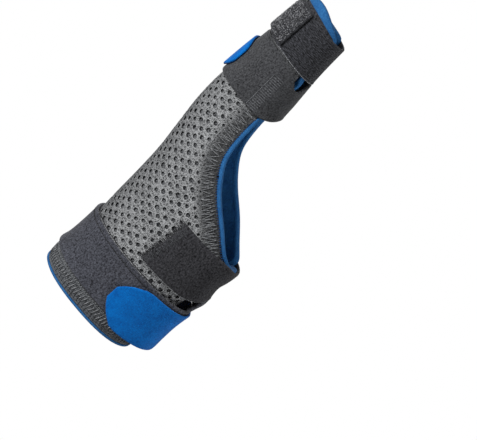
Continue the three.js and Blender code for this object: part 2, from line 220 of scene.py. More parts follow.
# The arm and thumb as sections across X: "at" is a share of the span, the rest shares of body sizes
SPANS = {"wrist": (RIM, HAND_STRAP_END), "hand": (HAND_STRAP_END, WEB), "thumb": (WEB, TIP)}
SECTION_COLUMNS = ("span", "at", "wrist_b", "thumb_b", "wrist_d", "thumb_d", "rise", "palm")
SECTIONS = [
    ("wrist", 0.0, 0.995, 0, 1.064, 0, -0.027, 0),
    ("wrist", 0.113, 1.014, 0, 1.064, 0, -0.027, 0),
    ("wrist", 0.211, 0.989, 0, 1.024, 0, -0.038, 0),
    ("wrist", 0.354, 0.981, 0, 1.0, 0, -0.033, 0),
    ("wrist", 0.522, 1.005, 0, 0.98, 0, -0.042, 0),
    ("wrist", 0.69, 1.066, 0, 0.98, 0, -0.073, 0.05),
    ("wrist", 0.915, 1.136, 0, 0.98, 0, -0.104, 0.2),
    ("hand", 0.152, 1.0, 0.27, 0.7, 0.445, -0.03, 0.4),
    ("hand", 0.409, 0.8, 0.48, 0.55, 0.6, 0.204, 0.6),
    ("hand", 0.665, 0.5, 0.733, 0.35, 0.77, 0.531, 0.8),
    ("hand", 0.87, 0.2, 1.0, 0.15, 0.96, 0.787, 0.95),
    ("thumb", 0.024, 0, 1.203, 0, 1.116, 0.917, 1),
    ("thumb", 0.265, 0, 1.108, 0, 1.055, 0.965, 1),
    ("thumb", 0.54, 0, 1.0, 0, 1.0, 1.002, 1),
    ("thumb", 0.78, 0, 0.941, 0, 0.973, 1.025, 1),
    ("thumb", 1.0, 0, 0.895, 0, 0.952, 1.033, 1),
]
SECTION_POWER = 2.3

# The edge of the hand opening: shares along the opening, and of the drop from the web's edge
OPENING_EDGE = [
    (-0.104, 1.33),
    (0.022, 0.994),
    (0.191, 0.692),
    (0.349, 0.388),
    (0.492, 0.187),
    (0.6, 0.089),
    (0.738, 0.036),
    (0.921, 0.002),
    (1.0, 0.0),
]

# Tab outlines: share of the length from the tip, then shares of half the width on both sides
WRIST_TAB_OUTLINE = [
    (0, -0.27, 0.23),
    (0.035, -0.46, 0.44),
    (0.1, -0.7, 0.7),
    (0.2, -0.98, 0.94),
    (0.27, -1.02, 1.0),
    (1, -0.94, 0.96),
]
THUMB_TAB_OUTLINE = [
    (0, -0.3, 0.3),
    (0.03, -0.52, 0.52),
    (0.08, -0.7, 0.7),
    (0.17, -0.87, 0.87),
    (0.32, -1, 1),
    (1, -1, 1),
]


def section_rows():
    """The sections in millimetres, one array for each column."""
    rows = []
    for section in SECTIONS:
        row = dict(zip(SECTION_COLUMNS, section))
        start, end = SPANS[row["span"]]
        rows.append(
            (
                start + row["at"] * (end - start),
                (row["wrist_b"] * WRIST_BREADTH + row["thumb_b"] * THUMB_BREADTH) / 2,
                (row["wrist_d"] * WRIST_DEPTH + row["thumb_d"] * THUMB_DEPTH) / 2,
                row["rise"] * THUMB_RISE,
                row["palm"] * THUMB_PALM,
            )
        )
    names = ("x", "half_breadth", "half_depth", "centre_z", "centre_y")
    return dict(zip(names, np.array(rows).T))


ROWS = section_rows()


def smoothstep(value, start, end):
    share = np.clip((value - start) / (end - start), 0, 1)
    return share * share * (3 - 2 * share)


def bump(turn, centre, spread):
    """A smooth bump of height 1 at one turn, down to 0 at its spread on both sides."""
    away = np.abs(np.mod(turn - centre + 180, 360) - 180)
    return np.where(away < spread, np.cos(np.pi / 2 * np.minimum(away / spread, 1)) ** 2, 0)


def column_at(column, x):
    """A smooth curve through the sections, for one column, at any X."""
    stations, values = ROWS["x"], ROWS[column]
    i = np.clip(np.searchsorted(stations, x, side="right") - 1, 0, len(stations) - 2)
    before = np.maximum(i - 1, 0)
    after = np.minimum(i + 2, len(stations) - 1)
    span = stations[i + 1] - stations[i]
    slope_a = (values[i + 1] - values[before]) / (stations[i + 1] - stations[before]) * span
    slope_b = (values[after] - values[i]) / (stations[after] - stations[i]) * span
    t = np.clip((x - stations[i]) / span, 0, 1)
    return (
        (2 * t**3 - 3 * t**2 + 1) * values[i]
        + (t**3 - 2 * t**2 + t) * slope_a
        + (3 * t**2 - 2 * t**3) * values[i + 1]
        + (t**3 - t**2) * slope_b
    )


def face(x, turn):
    """Y and Z of the shell's outer face."""
    angle = np.radians(turn)
    across, up = -np.sin(angle), np.cos(angle)
    reach = (np.abs(across) ** SECTION_POWER + np.abs(up) ** SECTION_POWER) ** (-1 / SECTION_POWER)
    y = column_at("centre_y", x) + column_at("half_depth", x) * across * reach
    z = column_at("centre_z", x) + column_at("half_breadth", x) * up * reach
    return y, z


def outward(x, turn):
    """The direction off the face, across the limb's axis."""
    y0, z0 = face(x, turn - 1)
    y1, z1 = face(x, turn + 1)
    length = np.hypot(y1 - y0, z1 - z0)
    return np.stack([np.zeros_like(length), (z1 - z0) / length, (y0 - y1) / length], axis=-1)


def lifted(x, turn, lift):
    """Points at a lift off the face, in millimetres."""
    x, turn, lift = np.broadcast_arrays(np.asarray(x, float), turn, lift)
    y, z = face(x, turn)
    return np.stack([x, y, z], axis=-1) + outward(x, turn) * lift[..., None]


# Arc lengths round the face from the thumb side, as a table that works both ways
ARC_X = np.arange(*TABLE_X, 2.0)
ARC_TURN = np.arange(-420, 421, 2.0)


def arc_table():
    x, turn = np.meshgrid(ARC_X, ARC_TURN, indexing="ij")
    y, z = face(x, turn)
    steps = np.hypot(np.diff(y, axis=1), np.diff(z, axis=1))
    arcs = np.concatenate([np.zeros((len(ARC_X), 1)), np.cumsum(steps, axis=1)], axis=1)
    top = int(np.argmin(np.abs(ARC_TURN)))
    return arcs - arcs[:, top : top + 1]


ARCS = arc_table()


def between_stations(x):
    place = np.clip((x - ARC_X[0]) / (ARC_X[1] - ARC_X[0]), 0, len(ARC_X) - 1.001)
    station = place.astype(int)
    return station, place - station


def arc_at(x, turn):
    x, turn = np.broadcast_arrays(np.asarray(x, float), turn)
    station, mix = between_stations(x)
    place = np.clip((turn - ARC_TURN[0]) / (ARC_TURN[1] - ARC_TURN[0]), 0, len(ARC_TURN) - 1.001)
    i = place.astype(int)
    part = place - i
    low = ARCS[station, i] * (1 - part) + ARCS[station, i + 1] * part
    high = ARCS[station + 1, i] * (1 - part) + ARCS[station + 1, i + 1] * part
    return low * (1 - mix) + high * mix


def turn_at(x, arc):
    """The turn at an arc length from the thumb side, the other way round from arc_at."""
    station, mix = between_stations(x)
    turns = np.zeros_like(arc)
    for i in np.unique(station):
        here = station == i
        low = np.interp(arc[here], ARCS[i], ARC_TURN)
        high = np.interp(arc[here], ARCS[i + 1], ARC_TURN)
        turns[here] = low * (1 - mix[here]) + high * mix[here]
    return turns


def solve_turn(measure, target, start, end):
    """The turn at which measure(turn), which only rises or only falls, meets the target."""
    low = np.full_like(target, start)
    high = np.full_like(target, end)
    rising = measure(high) > measure(low)
    for _ in range(22):
        middle = (low + high) / 2
        before = (measure(middle) < target) == rising
        low = np.where(before, middle, low)
        high = np.where(before, high, middle)
    return (low + high) / 2


def opening_edge(inset):
    """X and Z of the hand opening's edge, moved back into the cloth by "inset"."""

    def lowest(x):
        return column_at("centre_z", x) - column_at("half_breadth", x)

    web_height = lowest(WEB) + WEB_RISE
    knots = [
        (HAND_STRAP_END + along * OPENING_LENGTH, web_height - drop * (web_height + WRIST_BREADTH / 2))
        for along, drop in OPENING_EDGE
    ]
    knots.append((THUMB_WRAP_END, lowest(THUMB_WRAP_END) + SLOT_RISE))
    knots.append((TIP, lowest(TIP) + SLOT_RISE))
    knots = np.array(knots)
    places = np.linspace(0, len(knots) - 1, 400)
    i = np.minimum(places.astype(int), len(knots) - 2)
    t = (places - i)[:, None]
    p0, p1 = knots[np.maximum(i - 1, 0)], knots[i]
    p2, p3 = knots[i + 1], knots[np.minimum(i + 2, len(knots) - 1)]
    v0, v1 = (p2 - p0) / 2, (p3 - p1) / 2
    curve = (2 * p1 - 2 * p2 + v0 + v1) * t**3 + (3 * p2 - 3 * p1 - 2 * v0 - v1) * t**2 + v0 * t + p1
    along = np.gradient(curve, axis=0)
    along /= np.linalg.norm(along, axis=1)[:, None]
    moved = curve + np.stack([-along[:, 1], along[:, 0]], axis=1) * inset
    return moved[:, 0], moved[:, 1]


def edge_turns(x, inset):
    """The shell's two long edges at each X, on the palm side and on the back of the hand."""
    height = np.interp(x, *opening_edge(inset))
    bottom = column_at("centre_z", x) - column_at("half_breadth", x)
    cut = height > bottom
    back_cut = solve_turn(lambda turn: face(x, turn)[1], height, 0, 180)
    palm_cut = solve_turn(lambda turn: face(x, turn)[1], height, 180, 360)
    back_seam = solve_turn(lambda turn: face(x, turn)[0], np.full_like(x, SEAM_OFFSET - inset), 120, 250)
    far_side = np.full_like(x, SEAM_OFFSET + SEAM_GAP + inset)
    palm_seam = solve_turn(lambda turn: face(x, turn)[0], far_side, 120, 265)
    palm = np.where(cut, np.maximum(palm_cut, palm_seam), palm_seam) - 360
    return palm, np.where(cut, np.minimum(back_cut, back_seam), back_seam)


def thumb_slant(turn):
    return -THUMB_STRAP_SLANT * bump(turn, UNDERSIDE, 180)


def tip_edge(turn):
    return THUMB_STRAP_END + TIP_LIP + thumb_slant(turn) + TIP_FLAP * bump(turn, FLAP_TURN, FLAP_SPREAD)


def slack_at(turn, x):
    """How far the straps stand off the shell: they run straight under the wrist."""
    end = HAND_STRAP_START + SLACK_END * HAND_STRAP_WIDTH
    return STRAP_SLACK * (1 - smoothstep(x, HAND_STRAP_START, end)) * bump(turn, UNDERSIDE, SLACK_SPREAD)


# Materials

def linear(hex_colour):
    """An sRGB hex colour as linear RGBA."""
    parts = [((hex_colour >> shift) & 255) / 255 for shift in (16, 8, 0)]
    return [*[c / 12.92 if c <= 0.04045 else ((c + 0.055) / 1.055) ** 2.4 for c in parts], 1]


def add_node(tree, kind, inputs=(), output=0, **settings):
    """Adds a node with its settings and gives back one of its outputs. The inputs are in a dict, or
    in their own order in a list, and each takes a value or a socket to link from."""
    node = tree.nodes.new(kind)
    for name, value in settings.items():
        setattr(node, name, value)
    for name, value in inputs.items() if isinstance(inputs, dict) else enumerate(inputs):
        if isinstance(value, bpy.types.NodeSocket):
            tree.links.new(value, node.inputs[name])
        else:
            node.inputs[name].default_value = value
    return node.outputs[output] if node.outputs else None


MATH, RANGE, MIX = "ShaderNodeMath", "ShaderNodeMapRange", "ShaderNodeMix"
# The Mix node's sockets that hold colours
DARK_END, LIGHT_END, MIXED = 6, 7, 2
# How far apart a Wave node's bands are at scale 1
WAVE_LENGTH = 2 * math.pi / 20


def cloth_material(name, roughness, sheen, dark, light, pattern, pressed=None):
    """A matt fibre cloth. pattern(add, where) gives its place between its dark and its light colour,
    and its height in millimetres. Where it is pressed under sewing, and where painted shade darkens it,
    it turns to a third colour."""
    material = bpy.data.materials.new(name)
    material.use_nodes = True
    tree = material.node_tree
    tree.nodes.clear()
    add = partial(add_node, tree)
    uv = add("ShaderNodeUVMap", uv_map="cloth")
    where = add("ShaderNodeVectorMath", {0: uv, "Scale": 1 / MM}, operation="SCALE")
    share, height = pattern(add, where)
    ends = {0: share, DARK_END: linear(dark), LIGHT_END: linear(light)}
    colour = add(MIX, ends, MIXED, data_type="RGBA")
    # The third colour marks the knit pressed under sewing, and also paints shade over the thumb side
    if pressed:
        border = add("ShaderNodeAttribute", output="Fac", attribute_name="pressed_and_shade_share")
        border = add(MATH, [border, PRESSED_AND_SHADE_SHARE], operation="MULTIPLY")
        ends = {0: border, DARK_END: colour, LIGHT_END: linear(pressed)}
        colour = add(MIX, ends, MIXED, data_type="RGBA")
    relief = add("ShaderNodeBump", {"Height": height, "Distance": MM, "Strength": 1.0})
    shader = {
        "Base Color": colour,
        "Normal": relief,
        "Roughness": roughness,
        "IOR": FIBRE_IOR,
        "Specular IOR Level": FIBRE_GLOSS,
        "Sheen Weight": sheen,
        "Sheen Roughness": 0.5,
    }
    add("ShaderNodeOutputMaterial", {"Surface": add("ShaderNodeBsdfPrincipled", shader)})
    return material


def grains(add, where, size, detail=2.0, stretch=(1, 1, 1), turn=0.0):
    """Fibres or loops "size" millimetres across, drawn out along an axis by the stretch."""
    scale = [1 / (size * share) for share in stretch]
    placed = add("ShaderNodeMapping", {"Vector": where, "Scale": scale, "Rotation": (0, 0, turn)})
    return add("ShaderNodeTexNoise", {"Vector": placed, "Scale": 1.0, "Detail": detail})


# The patterns. Filaments and fibres are 0.02 to 0.05 mm thick, far too fine to show, so strands,
# naps and weaves are drawn as coarse as they need to show: most are 0.4 to 1.3 mm across. Patches
# of wear are 6 to 14 mm across, as on real cloth.

def knit_pattern(rim_share):
    """Strands of filament yarn round each hole, with deep shade between them."""

    def pattern(add, where):
        rim = add("ShaderNodeAttribute", output="Fac", attribute_name="yarn_rim")
        cells = {"Vector": where, "Scale": 1 / STRAND_NET, "Randomness": 0.9}
        net = add("ShaderNodeTexVoronoi", cells, feature="DISTANCE_TO_EDGE")
        strands = add(MATH, [add(RANGE, [net, 0.02, 0.2, 1.0, 0.0]), 0.62], operation="MULTIPLY")
        yarn = add(MATH, [rim, rim_share, strands], operation="MULTIPLY_ADD")
        grain = add(RANGE, [grains(add, where, 0.4), 0.3, 0.7, 0.25, 1.5])
        yarn = add(MATH, [yarn, grain], operation="MULTIPLY")
        wear = add(RANGE, [grains(add, where, 14, 1.0), 0.35, 0.65, 0.9, 1.08])
        height = add(MATH, [yarn, 0.3], operation="MULTIPLY")
        return add(MATH, [yarn, wear], operation="MULTIPLY"), height

    return pattern


def border_pattern(add, where):
    """The same knit pressed flat under its stitching, so its holes are only dents."""
    cells = {"Vector": where, "Scale": 1 / PRESSED_NET, "Randomness": 0.9}
    net = add("ShaderNodeTexVoronoi", cells, feature="DISTANCE_TO_EDGE")
    strands = add(RANGE, [net, 0.02, 0.36, 1.0, 0.0])
    bands = {"Vector": where, "Scale": WAVE_LENGTH / PRESSED_RIB, "Distortion": 3.0}
    ribs = add("ShaderNodeTexWave", bands, "Fac", bands_direction="X")
    grain = add(RANGE, [grains(add, where, 0.5), 0.3, 0.7, 0.3, 1.1])
    yarn = add(MATH, [strands, grain], operation="MULTIPLY")
    yarn = add(MATH, [yarn, 0.6], operation="MULTIPLY")
    yarn = add(MATH, [ribs, 0.3, yarn], operation="MULTIPLY_ADD")
    return yarn, add(MATH, [yarn, 0.3], operation="MULTIPLY")


def felt_pattern(add, where):
    """Felted or brushed fibres that cross, lighter where they stand up."""
    fibres = grains(add, where, 0.5, 3.0, (1, 2.4, 1), 0.6)
    crossed = grains(add, where, 0.6, 3.0, (2.4, 1, 1), 0.2)
    crossed = add(MATH, [crossed, 0.5], operation="MULTIPLY")
    mixed = add(MATH, [fibres, 0.5, crossed], operation="MULTIPLY_ADD")
    mixed = add(MATH, [mixed, 0.17], operation="SUBTRACT")
    mixed = add(MATH, [grains(add, where, 6, 1.0), 0.35, mixed], operation="MULTIPLY_ADD")
    return add(RANGE, [mixed, 0.25, 0.75]), add(MATH, [fibres, 0.22], operation="MULTIPLY")


def loop_pattern(size, height):
    """Brushed loops that lie in all directions, with worn lighter patches."""

    def pattern(add, where):
        loops = grains(add, where, size, 3.0, (1, 1.8, 1), 0.7)
        crossed = grains(add, where, size * 1.3, 3.0, (1.9, 1, 1), -0.5)
        crossed = add(MATH, [crossed, 0.5], operation="MULTIPLY")
        nap = add(MATH, [loops, 0.5, crossed], operation="MULTIPLY_ADD")
        mixed = add(MATH, [nap, 0.06], operation="SUBTRACT")
        mixed = add(MATH, [grains(add, where, 9, 1.0), 0.12, mixed], operation="MULTIPLY_ADD")
        return add(RANGE, [mixed, 0.36, 0.64]), add(MATH, [nap, height], operation="MULTIPLY")

    return pattern


def tape_pattern(add, where):
    """Warp ribs crossed by a coarser weft, as in a narrow woven tape, with flecks of fuzz."""
    ribs = []
    for pitch, direction, unevenness in ((TAPE_WARP, "Y", 4.0), (TAPE_WEFT, "X", 6.0)):
        bands = {"Vector": where, "Scale": WAVE_LENGTH / pitch, "Distortion": unevenness}
        ribs.append(add("ShaderNodeTexWave", bands, "Fac", bands_direction=direction))
    flecks = add(RANGE, [grains(add, where, 0.8, 3.0, (1, 1.6, 1), 0.8), 0.38, 0.66])
    flecks = add(MATH, [flecks, 0.6], operation="MULTIPLY")
    weave = add(MATH, [ribs[0], 0.6, 0.4], operation="MULTIPLY_ADD")
    weave = add(MATH, [weave, ribs[1]], operation="MULTIPLY")
    mixed = add(MATH, [weave, 0.4, flecks], operation="MULTIPLY_ADD")
    return mixed, add(MATH, [weave, 0.25], operation="MULTIPLY")


def thread_pattern(add, where):
    """Twisted yarn with a little fuzz."""
    fuzz = grains(add, where, 1.1)
    return add(RANGE, [fuzz, 0.3, 0.7]), fuzz


# Textured polyester yarn, warp knitted into an open-hole spacer mesh: light matt strands round
# deep shade, darker where it is pressed under sewing, and with painted shade over the thumb side
KNIT = cloth_material(
    "polyester_spacer_knit", 0.95, 0.0, 0x131417, 0xC6C8CA, knit_pattern(0.5), pressed=0x232426
)
# The same yarn inside the wall, without raised rims: it looks dark, because it lies in the holes' shade
CORE = cloth_material("polyester_spacer_core", 1.0, 0.0, 0x36373A, 0xA0A2A5, knit_pattern(0.0))
# Spacer knit pressed flat and overlocked: darker, with ribs across the edge
BORDER = cloth_material("overlocked_spacer_border", 0.92, 0.2, 0x232527, 0x7A7D81, border_pattern)
# Polyamide knit, brushed: a soft even blue with short fibres
LINING = cloth_material("brushed_polyamide_lining", 0.92, 0.05, 0x16447A, 0x3876AE, felt_pattern)
# Polyamide loop cloth, brushed and dyed charcoal: matt, faintly mottled
LOOP = cloth_material("brushed_loop_cloth", 0.95, 0.15, 0x19191D, 0x5A5C65, loop_pattern(0.6, 0.3))
# The same cloth drawn nearly black, for the hand strap and dark threads, and as painted shade on the tip
# border and painted shadow beside the wrist strap
DEEP_LOOP = cloth_material("near_black_loop_cloth", 0.95, 0.08, 0x0C0C0E, 0x49494D, loop_pattern(0.6, 0.3))
# Thinner loop cloth of the thumb wrap: a finer nap
WRAP = cloth_material("fine_loop_cloth", 0.93, 0.2, 0x1A1B1D, 0x525356, loop_pattern(0.55, 0.25))
# Elastic polyester tape, woven: dark ribs with light flecks and a low sheen
TAPE = cloth_material("woven_elastic_tape", 0.8, 0.15, 0x090A0C, 0x4F5056, tape_pattern)
# Uncut loop pile, coarse: drawn dark as painted shade in the depths under its loops
ROUGH = cloth_material("uncut_loop_pile", 1.0, 0.1, 0x19191B, 0x45464A, loop_pattern(0.9, 0.5))
# Textured yarn of that pile, curled: loops from near black to light grey, seen one by one
PILE = cloth_material("curled_pile_yarn", 0.9, 0.1, 0x0F0F11, 0xA2A3A7, thread_pattern)
# Polyamide felt over hook tape, pressed: saturated blue, almost even
FELT = cloth_material("pressed_blue_felt", 0.88, 0.08, 0x004A96, 0x0179D2, felt_pattern)
# Spun polyester sewing thread, dyed in three colours: each thread reads as a soft round line
DARK_THREAD = cloth_material("charcoal_sewing_thread", 0.75, 0.1, 0x2A2B2D, 0x5D5F63, thread_pattern)
PALE_THREAD = cloth_material("grey_overlock_thread", 0.75, 0.1, 0x525457, 0x9A9C9F, thread_pattern)
BLUE_THREAD = cloth_material("navy_sewing_thread", 0.75, 0.1, 0x0C2C55, 0x1B4B86, thread_pattern)
# Loop cloth over the border's ribs, drawn lighter than the wrap: painted highlight on the raised ridge
# and ribs
WRAP_RIDGE = cloth_material("ridge_highlight_loop_cloth", 0.93, 0.05, 0x434447, 0x7C7E82, thread_pattern)


# Mesh making

def mesh_piece(name, points, faces, uvs, material):
    """A smooth mesh from points in millimetres, merged where it closes, with its faces outwards."""
    mesh = bpy.data.meshes.new(name)
    mesh.from_pydata((points * MM).tolist(), [], faces.tolist())
    layer = mesh.uv_layers.new(name="cloth")
    corners = np.empty(len(mesh.loops), dtype=np.int32)
    mesh.loops.foreach_get("vertex_index", corners)
    layer.data.foreach_set("uv", (uvs * MM)[corners].astype(np.float32).ravel())
    shape = bmesh.new()
    shape.from_mesh(mesh)
    bmesh.ops.remove_doubles(shape, verts=shape.verts, dist=1e-6)
    bmesh.ops.dissolve_degenerate(shape, edges=shape.edges, dist=1e-7)
    bmesh.ops.recalc_face_normals(shape, faces=shape.faces)
    shape.to_mesh(mesh)
    shape.free()
    mesh.shade_smooth()
    mesh.materials.append(material)
    piece = bpy.data.objects.new(name, mesh)
    bpy.context.scene.collection.objects.link(piece)
    return piece


def grid_faces(rows, columns, first):
    index = first + np.arange(rows * columns).reshape(rows, columns)
    corners = [index[:-1, :-1], index[:-1, 1:], index[1:, 1:], index[1:, :-1]]
    return np.stack(corners, axis=-1).reshape(-1, 4)


def closed_patch(name, x, turn, middle, half, material):
    """A closed wall on a grid of places. It is 2 "half" thick, and closes where half is 0."""
    rows, columns = x.shape
    outer = lifted(x, turn, middle + half).reshape(-1, 3)
    inner = lifted(x, turn, middle - half).reshape(-1, 3)
    uvs = np.stack([x, arc_at(x, turn)], axis=-1).reshape(-1, 2)
    inner_faces = grid_faces(rows, columns, rows * columns)[:, ::-1]
    faces = np.concatenate([grid_faces(rows, columns, 0), inner_faces])
    return mesh_piece(name, np.concatenate([outer, inner]), faces, np.concatenate([uvs, uvs]), material)


ROUNDING = np.array([(0, 0), (0.134, 0.5), (0.5, 0.866), (1, 1)])  # depth and height of a round edge


def rounded_shares(length, half, count):
    """Places along a length, closer together in its round ends, and the thickness share at each."""
    ends, heights = ROUNDING[:, 0] * half, ROUNDING[:, 1]
    inner = np.linspace(half, length - half, count + 2)[1:-1]
    places = np.concatenate([ends, inner, length - ends[::-1]])
    return places, np.concatenate([heights, np.ones(count), heights[::-1]])


def cloth_wall(name, turns, low, high, lift, thickness, material, ring=False, stations=12, relief=None):
    """A strap or tab wrapped round the limb, between the edges low(turn) and high(turn)."""
    half = thickness / 2
    start, end = turns
    middle_x = (low(np.array(start)) + high(np.array(start))) / 2
    first, last = (arc_at(middle_x, np.array(turn)) for turn in turns)
    count = int((end - start) / TURN_STEP)
    if ring:
        turn_line = np.linspace(start, end, count + 1)
        turn_heights = np.ones(count + 1)
    else:
        places, turn_heights = rounded_shares(float(last - first), half, count)
        turn_line = turn_at(np.full_like(places, middle_x), places + float(first))
    lows, highs = low(turn_line), high(turn_line)
    shares = [rounded_shares(b - a, half, stations) for a, b in zip(lows, highs)]
    x = lows[:, None] + np.stack([share[0] for share in shares])
    turn = np.broadcast_to(turn_line[:, None], x.shape)
    height = turn_heights[:, None] * shares[0][1][None, :]
    middle = lift(turn, x) + half
    if relief is not None:
        middle = middle + relief(turn, x) * height
    return closed_patch(name, x, turn, middle, half * height, material)


def tab_edges(outline, tip, root, middle, width):
    """Both edges of a tab as functions of the turn, from its outline."""
    table = np.array(outline, float)

    def edge(side, turn):
        share = np.clip((turn - tip) / (root - tip), 0, 1)
        return middle + np.interp(share, table[:, 0], table[:, side]) * width / 2

    return partial(edge, 1), partial(edge, 2)


def level(height):
    return lambda turn, x: np.full_like(x, height)


def beside(x):
    return lambda turn: np.full_like(turn, x, dtype=float)


def declare(piece, nodes=(), flat=None, carries=()):
    """Says what a piece rides on and hides the parts that it stands for. Its flat size is not used."""
    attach(piece, BODY)
    if nodes:
        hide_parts(*nodes)


def girth(x, lift):
    """The length round the limb at an X, off its face by a lift."""
    points = lifted(np.full(181, float(x)), np.linspace(0, 360, 181), np.full(181, float(lift)))
    return float(np.linalg.norm(np.diff(points, axis=0), axis=1).sum())


# Geometry Nodes

def new_tree(name, inputs):
    """A geometry tree with named inputs. Returns it, its input sockets and a function that ends it."""
    tree = bpy.data.node_groups.new(name, "GeometryNodeTree")
    tree.interface.new_socket(name="Geometry", in_out="INPUT", socket_type="NodeSocketGeometry")
    for label, kind in inputs:
        tree.interface.new_socket(name=label, in_out="INPUT", socket_type=kind)
    tree.interface.new_socket(name="Geometry", in_out="OUTPUT", socket_type="NodeSocketGeometry")
    given = tree.nodes.new("NodeGroupInput").outputs

    def end(instances):
        real = add_node(tree, "GeometryNodeRealizeInstances", [instances])
        dressed = {"Geometry": real, "Material": given["Material"]}
        add_node(tree, "NodeGroupOutput", [add_node(tree, "GeometryNodeSetMaterial", dressed)])

    return tree, given, end


def run_tree(name, tree, base, values):
    """Runs a tree on a base mesh, and returns its result as a plain mesh object."""
    holder = bpy.data.objects.new(name, base)
    bpy.context.scene.collection.objects.link(holder)
    modifier = holder.modifiers.new("nodes", "NODES")
    modifier.node_group = tree
    for item in tree.interface.items_tree:
        if item.item_type == "SOCKET" and item.name in values:
            modifier[item.identifier] = values[item.name]
    bpy.context.view_layer.update()
    graph = bpy.context.evaluated_depsgraph_get()
    mesh = bpy.data.meshes.new_from_object(holder.evaluated_get(graph))
    mesh.name = name
    mesh.materials.clear()
    mesh.materials.append(values["Material"])
    mesh.polygons.foreach_set("material_index", np.zeros(len(mesh.polygons), dtype=np.int32))
    holder.modifiers.clear()
    holder.data = mesh
    return holder


def lattice_tree():
    """Rows of one shape, every other row moved on by half a pitch."""
    sizes = [("Cell", "NodeSocketObject"), ("Material", "NodeSocketMaterial")]
    sizes += [("Pitch", "NodeSocketFloat"), ("Row Pitch", "NodeSocketFloat")]
    sizes += [("Columns", "NodeSocketInt"), ("Rows", "NodeSocketInt")]
    tree, given, end = new_tree("perforation_lattice", sizes)
    add = partial(add_node, tree)
    grid = {"Vertices X": given["Columns"], "Vertices Y": given["Rows"]}
    for side, count, pitch in (("Size X", "Columns", "Pitch"), ("Size Y", "Rows", "Row Pitch")):
        steps = add(MATH, [given[count], 1.0], operation="SUBTRACT")
        grid[side] = add(MATH, [given[pitch], steps], operation="MULTIPLY")
    points = add("GeometryNodeMeshGrid", grid)
    row = add(MATH, [add("GeometryNodeInputIndex"), given["Rows"]], operation="MODULO")
    odd = add(MATH, [row, 2.0], operation="MODULO")
    half_pitch = add(MATH, [given["Pitch"], 0.5], operation="MULTIPLY")
    step = add("ShaderNodeCombineXYZ", {"X": add(MATH, [odd, half_pitch], operation="MULTIPLY")})
    points = add("GeometryNodeSetPosition", {"Geometry": points, "Offset": step})
    cell = add("GeometryNodeObjectInfo", {"Object": given["Cell"]}, "Geometry")
    end(add("GeometryNodeInstanceOnPoints", {"Points": points, "Instance": cell}))
    return tree


def stitch_tree():
    """One small spindle of thread at each point, along and off the cloth by the point's attributes."""
    sizes = [("Thread", "NodeSocketFloat"), ("Material", "NodeSocketMaterial")]
    tree, given, end = new_tree("stitches", sizes)
    add = partial(add_node, tree)
    kinds = (("along", "FLOAT_VECTOR"), ("out", "FLOAT_VECTOR"), ("half_length", "FLOAT"))
    along, out, half_length = (
        add("GeometryNodeInputNamedAttribute", {"Name": name}, "Attribute", data_type=kind)
        for name, kind in kinds
    )
    spindle = add("GeometryNodeMeshUVSphere", {"Segments": 6, "Rings": 4, "Radius": 1.0})
    spindle = add("GeometryNodeSetShadeSmooth", {"Geometry": spindle})
    turned = add("FunctionNodeAlignRotationToVector", {"Vector": along}, axis="Z")
    upright = {"Rotation": turned, "Vector": out}
    turned = add("FunctionNodeAlignRotationToVector", upright, axis="X", pivot_axis="Z")
    size = add("ShaderNodeCombineXYZ", [given["Thread"], given["Thread"], half_length])
    placed = {"Points": given["Geometry"], "Instance": spindle, "Rotation": turned, "Scale": size}
    end(add("GeometryNodeInstanceOnPoints", placed))
    return tree


LATTICE = lattice_tree()
STITCHES = stitch_tree()


def stitches(name, starts, ends, lift, thread, material, slot):
    """Stitches from starts to ends, each an X and a turn, in arrays of one length."""
    a = lifted(starts[0], starts[1], lift)
    b = lifted(ends[0], ends[1], lift)
    reach = np.linalg.norm(b - a, axis=1)
    centres = (a + b) / 2
    normals = outward((starts[0] + ends[0]) / 2, (starts[1] + ends[1]) / 2)
    base = bpy.data.meshes.new(name + "_places")
    base.from_pydata((centres * MM).tolist(), [], [])
    for label, kind, key, values in (
        ("along", "FLOAT_VECTOR", "vector", (b - a) / reach[:, None]),
        ("out", "FLOAT_VECTOR", "vector", normals),
        ("half_length", "FLOAT", "value", reach * STITCH_SHARE * MM),
    ):
        layer = base.attributes.new(label, kind, "POINT")
        layer.data.foreach_set(key, np.ascontiguousarray(values, dtype=np.float32).ravel())
    piece = run_tree(name, STITCHES, base, {"Thread": thread * MM, "Material": material})
    add_place_uvs(piece.data)
    declare(piece)
    return piece


def add_place_uvs(mesh):
    """The cloth's own U and V on a mesh whose points have left the grid they were made on."""
    points = np.empty(len(mesh.vertices) * 3, dtype=np.float32)
    mesh.vertices.foreach_get("co", points)
    points = points.reshape(-1, 3)
    corners = np.empty(len(mesh.loops), dtype=np.int32)
    mesh.loops.foreach_get("vertex_index", corners)
    for layer in list(mesh.uv_layers):
        mesh.uv_layers.remove(layer)
    layer = mesh.uv_layers.new(name="cloth")
    uvs = np.stack([points[:, 0], points[:, 2] - points[:, 1]], axis=1)
    layer.data.foreach_set("uv", uvs[corners].astype(np.float32).ravel())


# The shell: a core, the perforated face over it, and the sewn borders

def long_stations():
    """X stations along the limb, closer together where the opening's edge is steep."""
    start, end = FINE_STATIONS
    before = np.arange(RIM, start, STATION_STEP)
    near = np.arange(start, end, FINE_STATION_STEP)
    after = np.arange(end, TIP, STATION_STEP)
    return np.concatenate([before, near, after, [TIP]])


def drawn_out(x, turn):
    """X with the thumb's part drawn out to the slanted edge at its tip."""
    return x + (tip_edge(turn) - TIP) * np.clip((x - WEB) / (TIP - WEB), 0, 1)


def edge_grid(x_line, inset, columns):
    """Places at each X, from the shell's palm edge to its back edge."""
    palm, back = edge_turns(x_line, inset)
    turn = palm[:, None] + (back - palm)[:, None] * np.linspace(0, 1, columns)[None, :]
    return drawn_out(x_line[:, None], turn), turn


